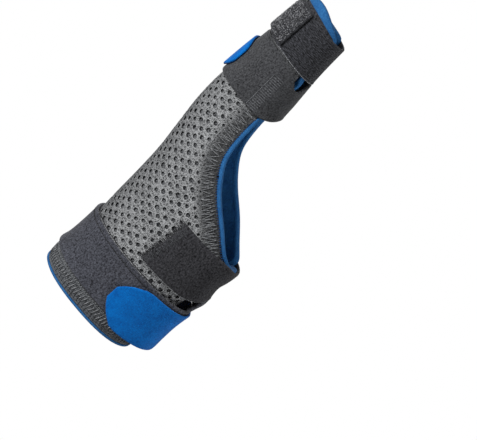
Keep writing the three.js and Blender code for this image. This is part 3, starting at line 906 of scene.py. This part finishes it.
def limb_grid(inset, end_inset):
    """Places over the whole shell, moved in from every edge."""
    x_line = long_stations()
    x_line = RIM + end_inset + (x_line - RIM) * (TIP - RIM - 2 * end_inset) / (TIP - RIM)
    return edge_grid(x_line, inset, WALL_COLUMNS)


def closing_share(shape):
    """1 inside a grid and 0 along its four sides."""
    share = np.ones(shape)
    share[[0, -1], :] = 0
    share[:, [0, -1]] = 0
    return share


def shell_core():
    """The inside of the shell's wall, which is seen through the holes of its face."""
    x, turn = limb_grid(CORE_INSET, CORE_END_INSET)
    middle = (CORE_FACE - SHELL_THICKNESS) / 2
    half = (CORE_FACE + SHELL_THICKNESS) / 2 * closing_share(x.shape)
    return closed_patch("shell_core", x, turn, np.full(x.shape, middle), half, CORE)


def hole_cell():
    """One cell of the perforated knit, flat, with its yarn rim raised. Its edges meet the next cells'."""
    width, height = HOLE_PITCH / 2, HOLE_ROW_PITCH / 2
    border = [(-1, -1), (-0.5, -1), (0, -1), (0.5, -1), (1, -1), (1, 0)]
    border += [(-a, -b) for a, b in border]
    border = np.array(border, float) * (width, height)
    angles = np.radians(np.linspace(-150, 180, RING_POINTS))
    circle = np.stack([np.cos(angles), np.sin(angles)], axis=1)
    rim = circle * (HOLE_WIDTH / 2 + YARN_WIDTH, HOLE_HEIGHT / 2 + YARN_HEIGHT)
    hole = circle * (HOLE_WIDTH / 2, HOLE_HEIGHT / 2)
    rings = [(border, 0.0, 0.2), (rim, YARN_RISE, 1.0), (hole, -HOLE_DIP, 0.3)]
    levels = [np.column_stack([ring, np.full(RING_POINTS, lift)]) for ring, lift, _ in rings]
    points = np.concatenate(levels)
    here = np.arange(RING_POINTS)
    beside_it = np.roll(here, -1)
    sides = np.stack([here, beside_it, beside_it + RING_POINTS, here + RING_POINTS], axis=1)
    faces = np.concatenate([sides, sides + RING_POINTS]).tolist()
    mesh = bpy.data.meshes.new("hole_cell")
    mesh.from_pydata((points * MM).tolist(), [], faces)
    rims = mesh.attributes.new("yarn_rim", "FLOAT", "POINT")
    shares = np.repeat([share for _, _, share in rings], RING_POINTS)
    rims.data.foreach_set("value", shares.astype(np.float32))
    return bpy.data.objects.new("hole_cell", mesh)


# The shell's long edges at fixed stations and insets, as a table
EDGE_X = np.arange(*TABLE_X, 0.5)
EDGE_STEP = 1.5
EDGE_TABLE = [edge_turns(EDGE_X, inset) for inset in np.arange(0, DEPTH_LIMIT + EDGE_STEP, EDGE_STEP)]


def depth_in(x, turn):
    """How far a place lies inside the shell's long edges, in millimetres, up to DEPTH_LIMIT."""
    edges = [[np.interp(x, EDGE_X, turns) for turns in pair] for pair in EDGE_TABLE]
    palm_depth = np.zeros_like(x)
    back_depth = np.zeros_like(x)
    for (palm_a, back_a), (palm_b, back_b) in zip(edges, edges[1:]):
        palm_depth += EDGE_STEP * np.clip((turn - palm_a) / np.maximum(palm_b - palm_a, 0.01), 0, 1)
        back_depth += EDGE_STEP * np.clip((back_a - turn) / np.maximum(back_a - back_b, 0.01), 0, 1)
    return np.minimum(palm_depth, back_depth)


def knit_edges(x):
    return [np.interp(x, EDGE_X, line) for line in edge_turns(EDGE_X, KNIT_INSET)]


def knit_keeps(x, turn):
    """Which places belong to the face that shows."""
    palm, back = knit_edges(x)
    inside = (turn > palm) & (turn < back) & (x > KNIT_START) & (x < KNIT_END)
    strap_start, strap_end = HAND_STRAP_TURNS
    back_strap = (turn > strap_start + HIDDEN_TURN) & (turn < strap_end)
    palm_strap = turn + 360 < strap_end - HIDDEN_TURN
    return inside & ~((x > HIDDEN_KNIT[0]) & (x < HIDDEN_KNIT[1]) & (back_strap | palm_strap))


def knit_lattice(cell):
    """The flat lattice of cells, as a mesh object whose cells come one after the other."""
    sizes = {
        "Cell": cell,
        "Material": KNIT,
        "Pitch": HOLE_PITCH * MM,
        "Row Pitch": HOLE_ROW_PITCH * MM,
        "Columns": 2 * round((KNIT_END - KNIT_START) / HOLE_PITCH / 2) + 1,
        "Rows": 2 * round(girth(HAND_STRAP_END, 0) / HOLE_ROW_PITCH / 2) + 1,
    }
    return run_tree("knit_face", LATTICE, bpy.data.meshes.new("knit_face_base"), sizes)


def knit_face():
    """The perforated face: its lattice wrapped round the limb, cut out and given its thickness. Its
    flat area comes with it, in square millimetres."""
    cell = hole_cell()
    size = len(cell.data.vertices)
    piece = knit_lattice(cell)
    bpy.data.objects.remove(cell)
    flat = bmesh.new()
    flat.from_mesh(piece.data)
    points = np.array([v.co for v in flat.verts]) / MM + ((KNIT_START + KNIT_END) / 2, 0, 0)

    # Each cell's hole closes towards the border, and its yarn lies down there
    cells = points.reshape(-1, size, 3)
    centres = cells.mean(axis=1)
    depth = depth_in(centres[:, 0], turn_at(centres[:, 0], centres[:, 1]))
    unevenness = 1 + HOLE_DRIFT * np.random.default_rng(2).normal(0, 1, len(cells))
    spread = HOLE_SHUT + (1 - HOLE_SHUT) * smoothstep(depth, BORDER_START, BORDER_END) * unevenness
    middles = centres[:, None, :2]
    cells[:, RING_POINTS:, :2] = middles + (cells[:, RING_POINTS:, :2] - middles) * spread[:, None, None]
    cells[:, RING_POINTS : 2 * RING_POINTS, 2] *= spread[:, None]

    # The flat places become turns, and how pressed each is, with the painted shade along the thumb side,
    # goes with them
    turns = turn_at(points[:, 0], points[:, 1])
    keep = np.repeat(knit_keeps(points[:, 0], turns).reshape(-1, size).any(axis=1), size)
    palm, back = knit_edges(points[:, 0])
    beyond = (turns <= palm) | (turns >= back)
    turns = np.clip(turns, palm, back)
    shares = 1 - smoothstep(depth_in(points[:, 0], turns), BORDER_START, BORDER_END)
    # Painted shade: the knit darkens along the thumb side, by RIDGE_SHADE
    shares = np.maximum(shares, RIDGE_SHADE * bump(turns, 0, RIDGE_SPREAD))
    border = flat.verts.layers.float.new("pressed_and_shade_share")
    uv = flat.loops.layers.uv.new("cloth")
    for polygon in flat.faces:
        for corner in polygon.loops:
            corner[uv].uv = points[corner.vert.index][:2] * MM
    for vertex, place, share in zip(flat.verts, lifted(points[:, 0], turns, points[:, 2]), shares):
        vertex.co = place * MM
        vertex[border] = share

    # What lies past the shell's edge is cut away, and so are the slivers left along it
    slivers = []
    for polygon in flat.faces:
        past = [beyond[v.index] for v in polygon.verts]
        if all(past) or (any(past) and polygon.calc_area() < SLIVER_AREA * MM * MM):
            slivers.append(polygon)
    bmesh.ops.delete(flat, geom=slivers, context="FACES_ONLY")
    dropped = [v for v, kept in zip(flat.verts, keep) if not kept or not v.link_faces]
    bmesh.ops.delete(flat, geom=dropped, context="VERTS")
    bmesh.ops.remove_doubles(flat, verts=flat.verts, dist=MERGE_GAP * MM)
    bmesh.ops.reverse_faces(flat, faces=flat.faces)
    for polygon in flat.faces:
        polygon.smooth = True
    flat.to_mesh(piece.data)
    flat.free()

    thicken = piece.modifiers.new("thickness", "SOLIDIFY")
    thicken.thickness = KNIT_FACE_THICKNESS * MM
    thicken.offset = -1
    bpy.context.view_layer.update()
    solid = bpy.data.meshes.new_from_object(piece.evaluated_get(bpy.context.evaluated_depsgraph_get()))
    piece.modifiers.clear()
    piece.data = solid
    solid.name = "knit_face"
    return piece, keep.sum() / size * HOLE_PITCH * HOLE_ROW_PITCH


def edge_place(x, z, side):
    """The turn of the face at an X and a height, on the back of the hand (1) or the palm side (-1)."""
    bottom = column_at("centre_z", x) - column_at("half_breadth", x) + 0.05
    height = np.maximum(z, bottom)
    turn = solve_turn(lambda t: face(x, t)[1], height, 0.0, 180.0)
    return turn if side > 0 else -solve_turn(lambda t: face(x, -t)[1], height, 0.0, 180.0)


def border_places(insets, side, start, end, pitch):
    """X and turn of places along the opening's border: a row for each place, a column for each inset."""
    edge_x, edge_z = opening_edge(0)
    walked = np.concatenate([[0], np.cumsum(np.hypot(np.diff(edge_x), np.diff(edge_z)))])
    first, last = np.interp((start, end), edge_x, walked)
    steps = np.linspace(first, last, round((last - first) / pitch) + 1)
    knots = np.arange(len(walked))
    shares = np.interp(steps, walked, knots)
    columns = []
    for inset in insets:
        x, z = (np.interp(shares, knots, line) for line in opening_edge(inset))
        columns.append((x, edge_place(x, z, side)))
    return np.stack(columns, axis=-1)


def border_stitches(name, side):
    """The overlock along the opening: slanted threads that lean both ways in turn."""
    x, turn = border_places(OVERLOCK_INSETS, side, HAND_STRAP_END - 2, WEB + 3, STITCH_PITCH)
    drift = np.random.default_rng(11).normal(0, SEWING_DRIFT, (2, *x.shape))
    x, turn = x + 1.2 * drift[0], turn + 2 * drift[1]
    leans_back = np.arange(len(x) - 1) % 2 == 0
    start = [np.where(leans_back, line[1:, 0], line[:-1, 0]) for line in (x, turn)]
    finish = [np.where(leans_back, line[:-1, 1], line[1:, 1]) for line in (x, turn)]
    return stitches(name, start, finish, OVERLOCK_LIFT, SEWING_THREAD, PALE_THREAD, "spacer_knit")


def lip_stitches(name, side):
    """Small stitches that hold the lip down along its inner line."""
    x, turn = border_places(LIP_STITCH_INSETS, side, HAND_STRAP_END - 2, WEB + 1, LIP_STITCH_PITCH)
    ends = (x[:, 0], turn[:, 0]), (x[:, 1], turn[:, 1])
    return stitches(name, *ends, LIP_STITCH_LIFT, SEWING_THREAD, BLUE_THREAD, "blue_lining")


def ring_wall(name, start, end, top, material):
    """A band of the shell all round the limb, which hides the face's own edge."""
    x, turn = edge_grid(np.linspace(start, end, BAND_STATIONS), 1.0, BAND_COLUMNS)
    bottom = -KNIT_FACE_THICKNESS - 0.1
    half = (top - bottom) / 2 * closing_share(x.shape)
    return closed_patch(name, x, turn, np.full(x.shape, (top + bottom) / 2), half, material)


# The lining and its lip

# The lip's section: shares of its width in from the edge, and heights off the face
LIP_PROFILE = [
    (1.02, -0.3),
    (1.0, 0.24),
    (0.9, 0.36),
    (0.5, 0.42),
    (0.12, 0.34),
    (-0.08, -0.05),
    (-0.16, -1.5),
    (-0.1, -3.1),
    (0.12, -3.65),
    (0.8, -3.75),
    (1.1, -3.3),
]


def lip_route():
    """X, turn and lip width round every edge of the shell, as one closed line."""
    x_line = long_stations()
    palm, back = edge_turns(x_line, 0.0)
    back = back + NOTCH_LIP_TURN * bump(x_line, THUMB_WRAP_END - 2, NOTCH_LIP_SPREAD)
    tip = np.linspace(back[-1], palm[-1], 60)[1:-1]
    rim = np.linspace(palm[0], back[0], 90)[1:-1]
    flap_lip = RIM_LIP + TIP_LIP_SHARE * TIP_FLAP * bump(tip, FLAP_TURN, FLAP_SPREAD)
    parts = [
        (drawn_out(x_line, back), back, np.full_like(back, OPENING_LIP)),
        (tip_edge(tip) + 0.5 * RIM_LIP, tip, flap_lip),
        (drawn_out(x_line, palm)[::-1], palm[::-1], np.full_like(palm, OPENING_LIP)),
        (np.full_like(rim, RIM - 0.8 * RIM_LIP), rim, np.full_like(rim, RIM_LIP)),
    ]
    return [np.concatenate(lines) for lines in zip(*parts)]


def smoothed(line, own):
    """A closed line drawn towards its neighbours' values. Each point's own value counts "own" times."""
    return (np.roll(line, 1) + own * line + np.roll(line, -1)) / (2 + own)


def lining_wall():
    """The lining's wall inside the shell."""
    x, turn = limb_grid(LINING_INSET, 0.0)
    middle = -SHELL_THICKNESS - CLEARANCE - LINING_THICKNESS / 2
    half = LINING_THICKNESS / 2 * closing_share(x.shape)
    return closed_patch("lining_wall", x, turn, np.full(x.shape, middle), half, LINING)


def lining_lip():
    """The rolled lip that hides every edge of the shell, as its section swept along the edges."""
    x, turn, width = lip_route()
    points = lifted(x, turn, 0)
    gaps = np.linalg.norm(np.diff(points, axis=0, append=points[:1]), axis=1)
    walked = np.concatenate([[0], np.cumsum(gaps)])
    count = round(walked[-1] / LIP_STEP)
    places = np.linspace(0, walked[-1], count, endpoint=False)
    x, turn, width = (np.interp(places, walked, np.append(line, line[0])) for line in (x, turn, width))
    for _ in range(LIP_SMOOTHING):
        width, x, turn = smoothed(width, 1), smoothed(x, 2), smoothed(turn, 2)
    points = lifted(x, turn, 0)
    along = np.roll(points, -1, axis=0) - np.roll(points, 1, axis=0)
    along /= np.linalg.norm(along, axis=1)[:, None]
    out = outward(x, turn)
    inward = np.cross(out, along)
    inward /= np.linalg.norm(inward, axis=1)[:, None]
    rings = [points + inward * width[:, None] * share + out * height for share, height in LIP_PROFILE]
    sweep = np.stack([*rings, rings[0]], axis=1)
    sweep = np.concatenate([sweep, sweep[:1]])
    rows, columns = sweep.shape[:2]
    arcs = np.arange(rows) * walked[-1] / count
    uvs = np.stack(np.meshgrid(arcs, np.arange(columns) * 1.0, indexing="ij"), axis=-1).reshape(-1, 2)
    return mesh_piece("lining_lip", sweep.reshape(-1, 3), grid_faces(rows, columns, 0), uvs, LINING)


# Straps and tabs

def strap_lift(turn, x):
    return CLEARANCE + slack_at(turn, x)


def tab_lift(turn, x):
    return strap_lift(turn, x) + STRAP_THICKNESS + CLEARANCE


# The wrist strap's seam: a groove and the ridge beside it, each with its X, its width and its height
WRIST_SEAM_X = WRIST_STRAP_END - 2.4
WRIST_SEAM = [(WRIST_SEAM_X, 0.45, -0.45), (WRIST_STRAP_END - 1.1, 0.7, 0.25)]


def seam_relief(turn, x):
    return sum(rise * np.exp(-(((x - at) / width) ** 2)) for at, width, rise in WRIST_SEAM)


def wrist_strap():
    return cloth_wall(
        "wrist_strap_cloth",
        (0, 360),
        beside(-WRIST_STRAP_END),
        beside(WRIST_STRAP_END),
        strap_lift,
        STRAP_THICKNESS,
        LOOP,
        ring=True,
        stations=36,
        relief=seam_relief,
    )


def wrist_tab():
    radius = (WRIST_BREADTH + WRIST_DEPTH) / 4 + STRAP_SLACK
    root = WRIST_TAB_TIP + math.degrees(WRIST_TAB_LENGTH / radius)
    middle = -WRIST_STRAP_END - WRIST_TAB_OVERHANG + WRIST_TAB_WIDTH / 2
    return cloth_wall(
        "wrist_tab_felt",
        (WRIST_TAB_TIP, root),
        *tab_edges(WRIST_TAB_OUTLINE, WRIST_TAB_TIP, root, middle, WRIST_TAB_WIDTH),
        tab_lift,
        TAB_THICKNESS,
        FELT,
        stations=16,
    )


def draw_at(turn):
    return smoothstep(turn, UNDERSIDE - DRAW_SPREAD, UNDERSIDE)


def hand_strap_low(turn):
    return HAND_STRAP_START + HAND_STRAP_DRAW * draw_at(turn)


def hand_strap_high(turn):
    return HAND_STRAP_END - HAND_STRAP_DRAW / 2 * draw_at(turn)


def hand_strap():
    return cloth_wall(
        "hand_strap_cloth",
        HAND_STRAP_TURNS,
        hand_strap_low,
        hand_strap_high,
        strap_lift,
        STRAP_THICKNESS,
        DEEP_LOOP,
        stations=24,
    )


def strap_yoke():
    return cloth_wall(
        "strap_yoke_cloth",
        YOKE_TURNS,
        beside(WRIST_STRAP_END + CLEARANCE),
        lambda turn: hand_strap_low(turn) - CLEARANCE,
        strap_lift,
        STRAP_THICKNESS,
        LOOP,
        stations=6,
    )


def thumb_wrap_low(turn):
    return WEB + THUMB_WRAP_RISE * bump(turn, UNDERSIDE, WRAP_RISE_SPREAD)


def thumb_wrap_high(turn):
    notch = THUMB_WRAP_NOTCH * bump(turn, NOTCH_TURN, NOTCH_SPREAD)
    return THUMB_WRAP_END + thumb_slant(turn) - notch


def thumb_wrap():
    return cloth_wall(
        "thumb_wrap_cloth",
        (0, 360),
        thumb_wrap_low,
        thumb_wrap_high,
        level(CLEARANCE),
        THUMB_WRAP_THICKNESS,
        WRAP,
        ring=True,
        stations=24,
    )


def thumb_tab():
    radius = (THUMB_BREADTH + THUMB_DEPTH) / 4
    root = THUMB_TAB_TIP - math.degrees(THUMB_TAB_LENGTH / radius)
    middle = WEB + THUMB_TAB_SETBACK + THUMB_TAB_WIDTH / 2
    return cloth_wall(
        "thumb_tab_felt",
        (root, THUMB_TAB_TIP),
        *tab_edges(THUMB_TAB_OUTLINE, THUMB_TAB_TIP, root, middle, THUMB_TAB_WIDTH),
        level(2 * CLEARANCE + THUMB_WRAP_THICKNESS),
        TAB_THICKNESS,
        FELT,
        stations=14,
    )


def thumb_strap():
    return cloth_wall(
        "thumb_strap_tape",
        (0, 360),
        lambda turn: THUMB_STRAP_START + thumb_slant(turn),
        lambda turn: THUMB_STRAP_END + thumb_slant(turn),
        level(CLEARANCE),
        THUMB_STRAP_THICKNESS,
        TAPE,
        ring=True,
        stations=18,
    )


def thumb_strap_end():
    return cloth_wall(
        "thumb_strap_end_pile",
        ROUGH_END_TURNS,
        lambda turn: THUMB_STRAP_START + ROUGH_END_INSET + thumb_slant(turn),
        lambda turn: THUMB_STRAP_END + thumb_slant(turn),
        level(2 * CLEARANCE + THUMB_STRAP_THICKNESS),
        TAB_THICKNESS,
        ROUGH,
        stations=16,
    )


# Stitches

def strap_top(turn, x):
    return strap_lift(turn, x) + STRAP_THICKNESS


def stitch_run(name, x_at, turns, lift, pitch, length, slant, thread, material, slot):
    """A run of stitches round the limb beside x_at(turn), each with its length round and slant along."""
    start, end = turns
    middle_x = float(x_at(np.array(float((start + end) / 2))))
    first, last = (float(arc_at(middle_x, np.array(float(turn)))) for turn in turns)
    arcs = np.arange(first, last, pitch)
    line = np.full_like(arcs, middle_x)
    turn_a, turn_b = turn_at(line, arcs - length / 2), turn_at(line, arcs + length / 2)
    unevenness = SEWING_DRIFT * np.random.default_rng(3).normal(0, 1, (2, len(arcs))) * min(1, slant)
    x_a, x_b = x_at(turn_a) - slant / 2 + unevenness[0], x_at(turn_b) + slant / 2 + unevenness[1]
    height = lift(turn_a, x_a)
    return stitches(name, (x_a, turn_a), (x_b, turn_b), height, thread, material, slot)


def strap_stitches():
    """The straight runs of stitches, by name."""
    rim_turns = tuple(float(line[0]) for line in edge_turns(np.array([RIM + RIM_SEWING]), 1.0))
    rim_middle = (RIM + 1.0 - WRIST_STRAP_END - 1.6) / 2
    rim_reach = RIM_BORDER - 3.4
    tape_top = level(CLEARANCE + THUMB_STRAP_THICKNESS - 0.1)

    # Pale thread along the hand strap's low edge: a painted highlight on that edge
    def painted_edge_highlight(turn):
        return hand_strap_low(turn) + 0.3

    # Pale thread along the tape's low edge: a painted highlight on that edge
    def edge_highlight(turn):
        return THUMB_STRAP_START + 0.35 + thumb_slant(turn)

    # On the first line the run's path, turns and height, on the second its pitch, stitch length,
    # slant and thread in millimetres, and its yarn and slot
    runs = [
        (
            "rim_overlock_a", beside(rim_middle + 0.9), rim_turns, level(0.35),
            1.9, 1.3, 0.7 * rim_reach, 0.32, PALE_THREAD, "spacer_knit",
        ),
        (
            "rim_overlock_b", beside(rim_middle), rim_turns, level(0.4),
            2.1, -1.2, rim_reach, 0.22, DARK_THREAD, "spacer_knit",
        ),
        (
            "rim_chain", beside(-WRIST_STRAP_END - 0.9), rim_turns, level(0.45),
            1.5, 1.1, 0.3, 0.26, PALE_THREAD, "spacer_knit",
        ),
        (
            "wrist_strap_seam", beside(WRIST_SEAM_X), (0, 360), strap_top,
            1.25, 1.05, 0.2, 0.26, DEEP_LOOP, "loop_cloth",
        ),
        (
            # A ring of near-black stitches on the knit beside the strap's edge: painted shadow of the
            # strap
            "wrist_strap_hem", beside(WRIST_STRAP_END + 0.35), (0, 360), level(0.3),
            1.2, 1.15, 0.0, 0.3, DEEP_LOOP, "loop_cloth",
        ),
        (
            "hand_strap_edging", painted_edge_highlight, (HAND_STRAP_TURNS[0] + 2, 200), strap_top,
            1.0, 0.9, 0.2, 0.16, PALE_THREAD, "loop_cloth",
        ),
        (
            "thumb_strap_selvedge", edge_highlight, (68, 255), tape_top,
            1.0, 1.05, 0.0, 0.3, PALE_THREAD, "woven_tape",
        ),
    ]
    return {run[0]: stitch_run(*run) for run in runs}


def hand_strap_sewing():
    """The zigzag that closes the hand strap's sewn end, and the uneven tacks just before it."""
    strap_tip = HAND_STRAP_TURNS[0]
    count = round((HAND_STRAP_WIDTH - 2) / ZIGZAG_PITCH)
    x = np.linspace(HAND_STRAP_START + 1, HAND_STRAP_END - 1, count)
    turn = np.where(np.arange(count) % 2 == 0, strap_tip + 1.2, strap_tip + 7.0)
    ends = (x[:-1], turn[:-1]), (x[1:], turn[1:])
    top = CLEARANCE + STRAP_THICKNESS + 0.08
    zigzag = stitches("hand_strap_zigzag", *ends, top, 0.17, DARK_THREAD, "loop_cloth")
    count = round((HAND_STRAP_WIDTH - 1) / TACK_PITCH)
    x = np.linspace(HAND_STRAP_START + 0.5, HAND_STRAP_END - 0.5, count)
    drift = np.random.default_rng(5).uniform(-1, 1, (2, count))
    inner = np.full(count, strap_tip + 0.6)
    ends = (x + 0.3 * drift[0], inner - 4 + 1.2 * drift[1]), (x, inner)
    return [zigzag, stitches("hand_strap_tacks", *ends, 0.35, SEWING_THREAD, DEEP_LOOP, "loop_cloth")]


def wrap_ribs():
    """The border under the thumb wrap shows through it, as ribs below a ridge, in a lighter cloth:
    painted highlight on them.
    """
    x, turn = border_places(WRAP_RIDGE_INSETS, 1, WEB + 1.5, THUMB_WRAP_END - 9, WRAP_RIB_PITCH)
    lift = CLEARANCE + THUMB_WRAP_THICKNESS
    ridge = (x[:-1, 0], turn[:-1, 0]), (x[1:, 0], turn[1:, 0])
    fold = stitches("thumb_wrap_ridge", *ridge, lift, 0.3, WRAP_RIDGE, "loop_cloth")
    ribs = (x[:, 1], turn[:, 1]), (x[:, 2], turn[:, 2])
    return [fold, stitches("thumb_wrap_ribs", *ribs, lift + 0.05, 0.26, WRAP_RIDGE, "loop_cloth")]


def rough_pile():
    """Curly loops that stand in all directions over the rough strap end."""
    rng = np.random.default_rng(7)
    turn = rng.uniform(ROUGH_END_TURNS[0] + 3, ROUGH_END_TURNS[1] - 2, PILE_LOOPS)
    low = THUMB_STRAP_START + ROUGH_END_INSET + 0.6 + thumb_slant(turn)
    high = THUMB_STRAP_END - 0.6 + thumb_slant(turn)
    x = low + (high - low) * rng.uniform(0, 1, PILE_LOOPS)
    heading = rng.uniform(0, math.pi, PILE_LOOPS)
    reach = rng.uniform(*PILE_REACH, PILE_LOOPS)
    swing = np.degrees(np.sin(heading) * reach / (THUMB_BREADTH / 2))
    top = 2 * CLEARANCE + THUMB_STRAP_THICKNESS + TAB_THICKNESS + rng.uniform(*PILE_RISE, PILE_LOOPS)
    start = (x - np.cos(heading) * reach / 2, turn - swing / 2)
    finish = (x + np.cos(heading) * reach / 2, turn + swing / 2)
    return stitches("rough_pile", start, finish, top, 0.21, PILE, "rough_loop")


# The camera, lights and floor, set out from the picture's middle

ROLL = math.radians(40)
SWING = math.radians(14)
TARGET = np.array([62.7, 0, -19.1])
PICTURE_WIDTH = 238.5
LENS = 135
AMBIENT = 0.19
FLOOR_RADIUS = 0.5
FLOOR_DROP = 0.3
SENSOR = 36
FARTHEST = 20
AXIS_ALONG = np.array([math.cos(SWING), math.sin(SWING), 0])
AXIS_UP = np.array([0, 0, 1.0])
TOWARDS = np.array([math.sin(SWING), -math.cos(SWING), 0])
RIGHT = math.cos(ROLL) * AXIS_ALONG - math.sin(ROLL) * AXIS_UP
UP = math.sin(ROLL) * AXIS_ALONG + math.cos(ROLL) * AXIS_UP

# Millimetres to the picture's right, up and towards the viewer, then breadth, then watts
SOFTBOXES = {
    "key_softbox": (-330, 560, 620, 380, 8.4),
    "side_softbox": (600, -100, 500, 500, 0.5),
    "back_softbox": (100, 500, -800, 500, 4),
}


def picture_point(right, up, towards):
    """A place in metres, by millimetres to the picture's right, up, and towards the viewer."""
    return Vector((TARGET + RIGHT * right + UP * up + TOWARDS * towards) * MM)


def make_camera():
    data = bpy.data.cameras.new("camera")
    data.lens = LENS
    data.sensor_width = SENSOR
    data.sensor_fit = "HORIZONTAL"
    data.clip_end = FARTHEST
    camera = bpy.data.objects.new("camera", data)
    place = picture_point(0, 0, PICTURE_WIDTH * LENS / SENSOR)
    turned = Matrix([RIGHT, UP, TOWARDS]).transposed().to_4x4()
    camera.matrix_world = Matrix.Translation(place) @ turned
    bpy.context.scene.collection.objects.link(camera)
    bpy.context.scene.camera = camera


def softbox(name, right, up, towards, size, power):
    data = bpy.data.lights.new(name, "AREA")
    data.shape = "DISK"
    data.size = size * MM
    data.energy = power
    light = bpy.data.objects.new(name, data)
    light.location = picture_point(right, up, towards)
    aim = Vector(TARGET * MM) - light.location
    light.rotation_euler = aim.to_track_quat("-Z", "Y").to_euler()
    bpy.context.scene.collection.objects.link(light)


def make_studio():
    world = bpy.data.worlds.new("pale_studio")
    world.use_nodes = True
    tree = world.node_tree
    seen = add_node(tree, "ShaderNodeLightPath", output="Is Camera Ray")
    strength = add_node(tree, RANGE, [seen, 0, 1, AMBIENT, 1.0])
    tree.nodes["Background"].inputs["Color"].default_value = (1, 1, 1, 1)
    tree.links.new(strength, tree.nodes["Background"].inputs["Strength"])
    bpy.context.scene.world = world
    bpy.context.scene.view_settings.view_transform = "Standard"
    for name, row in SOFTBOXES.items():
        softbox(name, *row)
    shape = bmesh.new()
    bmesh.ops.create_circle(shape, cap_ends=True, segments=96, radius=FLOOR_RADIUS)
    mesh = bpy.data.meshes.new("pale_floor")
    shape.to_mesh(mesh)
    shape.free()
    mesh.transform(Matrix.Translation((TARGET[0] * MM, 0, -FLOOR_DROP)))
    paper = bpy.data.materials.new("matt_white_paper")
    paper.use_nodes = True
    sheet = paper.node_tree.nodes["Principled BSDF"].inputs
    sheet["Base Color"].default_value = linear(0xF2F2F2)
    sheet["Roughness"].default_value = 0.9
    mesh.materials.append(paper)
    floor = bpy.data.objects.new("pale_floor", mesh)
    bpy.context.scene.collection.objects.link(floor)


def flat_strip(width, where, turns=(0, 360)):
    """The flat size of a piece that runs round the limb, by its width and its girth there."""
    return width, girth(GIRTH_X[where], MID_CLOTH) * (turns[1] - turns[0]) / 360


def main():
    make_camera()
    make_studio()

    seams = strap_stitches()
    sides = (("back", 1), ("palm", -1))
    overlocks = [border_stitches(f"opening_overlock_{name}", side) for name, side in sides]
    shell_length = TIP - RIM
    shell_girth = girth(HAND_STRAP_START, 0)
    shell_flat = (shell_girth, shell_length)
    # The band at the tip is in the near-black loop cloth: painted shade, where the shell's edge lies in
    # shadow past the thumb strap
    tip = ring_wall("tip_border", THUMB_STRAP_END - 2, TIP - 0.3, 0.05, DEEP_LOOP)
    declare(tip)
    declare(shell_core(), ["shell"], shell_flat, [tip])
    knit, knit_area = knit_face()
    declare(knit, (), (shell_girth, KNIT_END - KNIT_START), overlocks)
    rim = ring_wall("rim_border", RIM - 0.2, -WRIST_STRAP_END + 2, 0.15, BORDER)
    rim_seams = [seams[name] for name in ("rim_overlock_a", "rim_overlock_b", "rim_chain")]
    declare(rim, flat=(RIM_BORDER + 2.2, girth(GIRTH_X["rim"], 0)), carries=rim_seams)

    wall, lip = lining_wall(), lining_lip()
    declare(lip)
    lip_seams = [lip_stitches(f"lip_seam_{name}", side) for name, side in sides]
    declare(wall, ["lining"], shell_flat, [lip, *lip_seams])

    wrist_flat = (WRIST_STRAP_WIDTH, girth(0, strap_lift(180.0, 0.0)))
    wrist_seams = [seams["wrist_strap_seam"], seams["wrist_strap_hem"]]
    declare(wrist_strap(), ["wrist_strap"], wrist_flat, carries=wrist_seams)
    declare(wrist_tab(), ["wrist_tab"], (WRIST_TAB_WIDTH, WRIST_TAB_LENGTH))
    hand_flat = flat_strip(HAND_STRAP_WIDTH, "hand", HAND_STRAP_TURNS)
    hand_seams = [seams["hand_strap_edging"], *hand_strap_sewing()]
    declare(hand_strap(), ["hand_strap"], hand_flat, carries=hand_seams)
    yoke_flat = flat_strip(STRAP_SPACING + HAND_STRAP_DRAW - 2 * CLEARANCE, "yoke", YOKE_TURNS)
    declare(strap_yoke(), ["strap_yoke"], yoke_flat)

    wrap_flat = flat_strip(THUMB_WRAP_WIDTH, "wrap")
    declare(thumb_wrap(), ["thumb_wrap"], wrap_flat, carries=wrap_ribs())
    declare(thumb_tab(), ["thumb_tab"], (THUMB_TAB_WIDTH, THUMB_TAB_LENGTH))
    tape_flat = flat_strip(THUMB_STRAP_WIDTH, "tape")
    edge_highlight = [seams["thumb_strap_selvedge"]]
    declare(thumb_strap(), ["thumb_strap"], tape_flat, carries=edge_highlight)
    end_flat = flat_strip(THUMB_STRAP_WIDTH - ROUGH_END_INSET, "tape", ROUGH_END_TURNS)
    declare(thumb_strap_end(), ["thumb_strap_end"], end_flat, carries=[rough_pile()])


main()
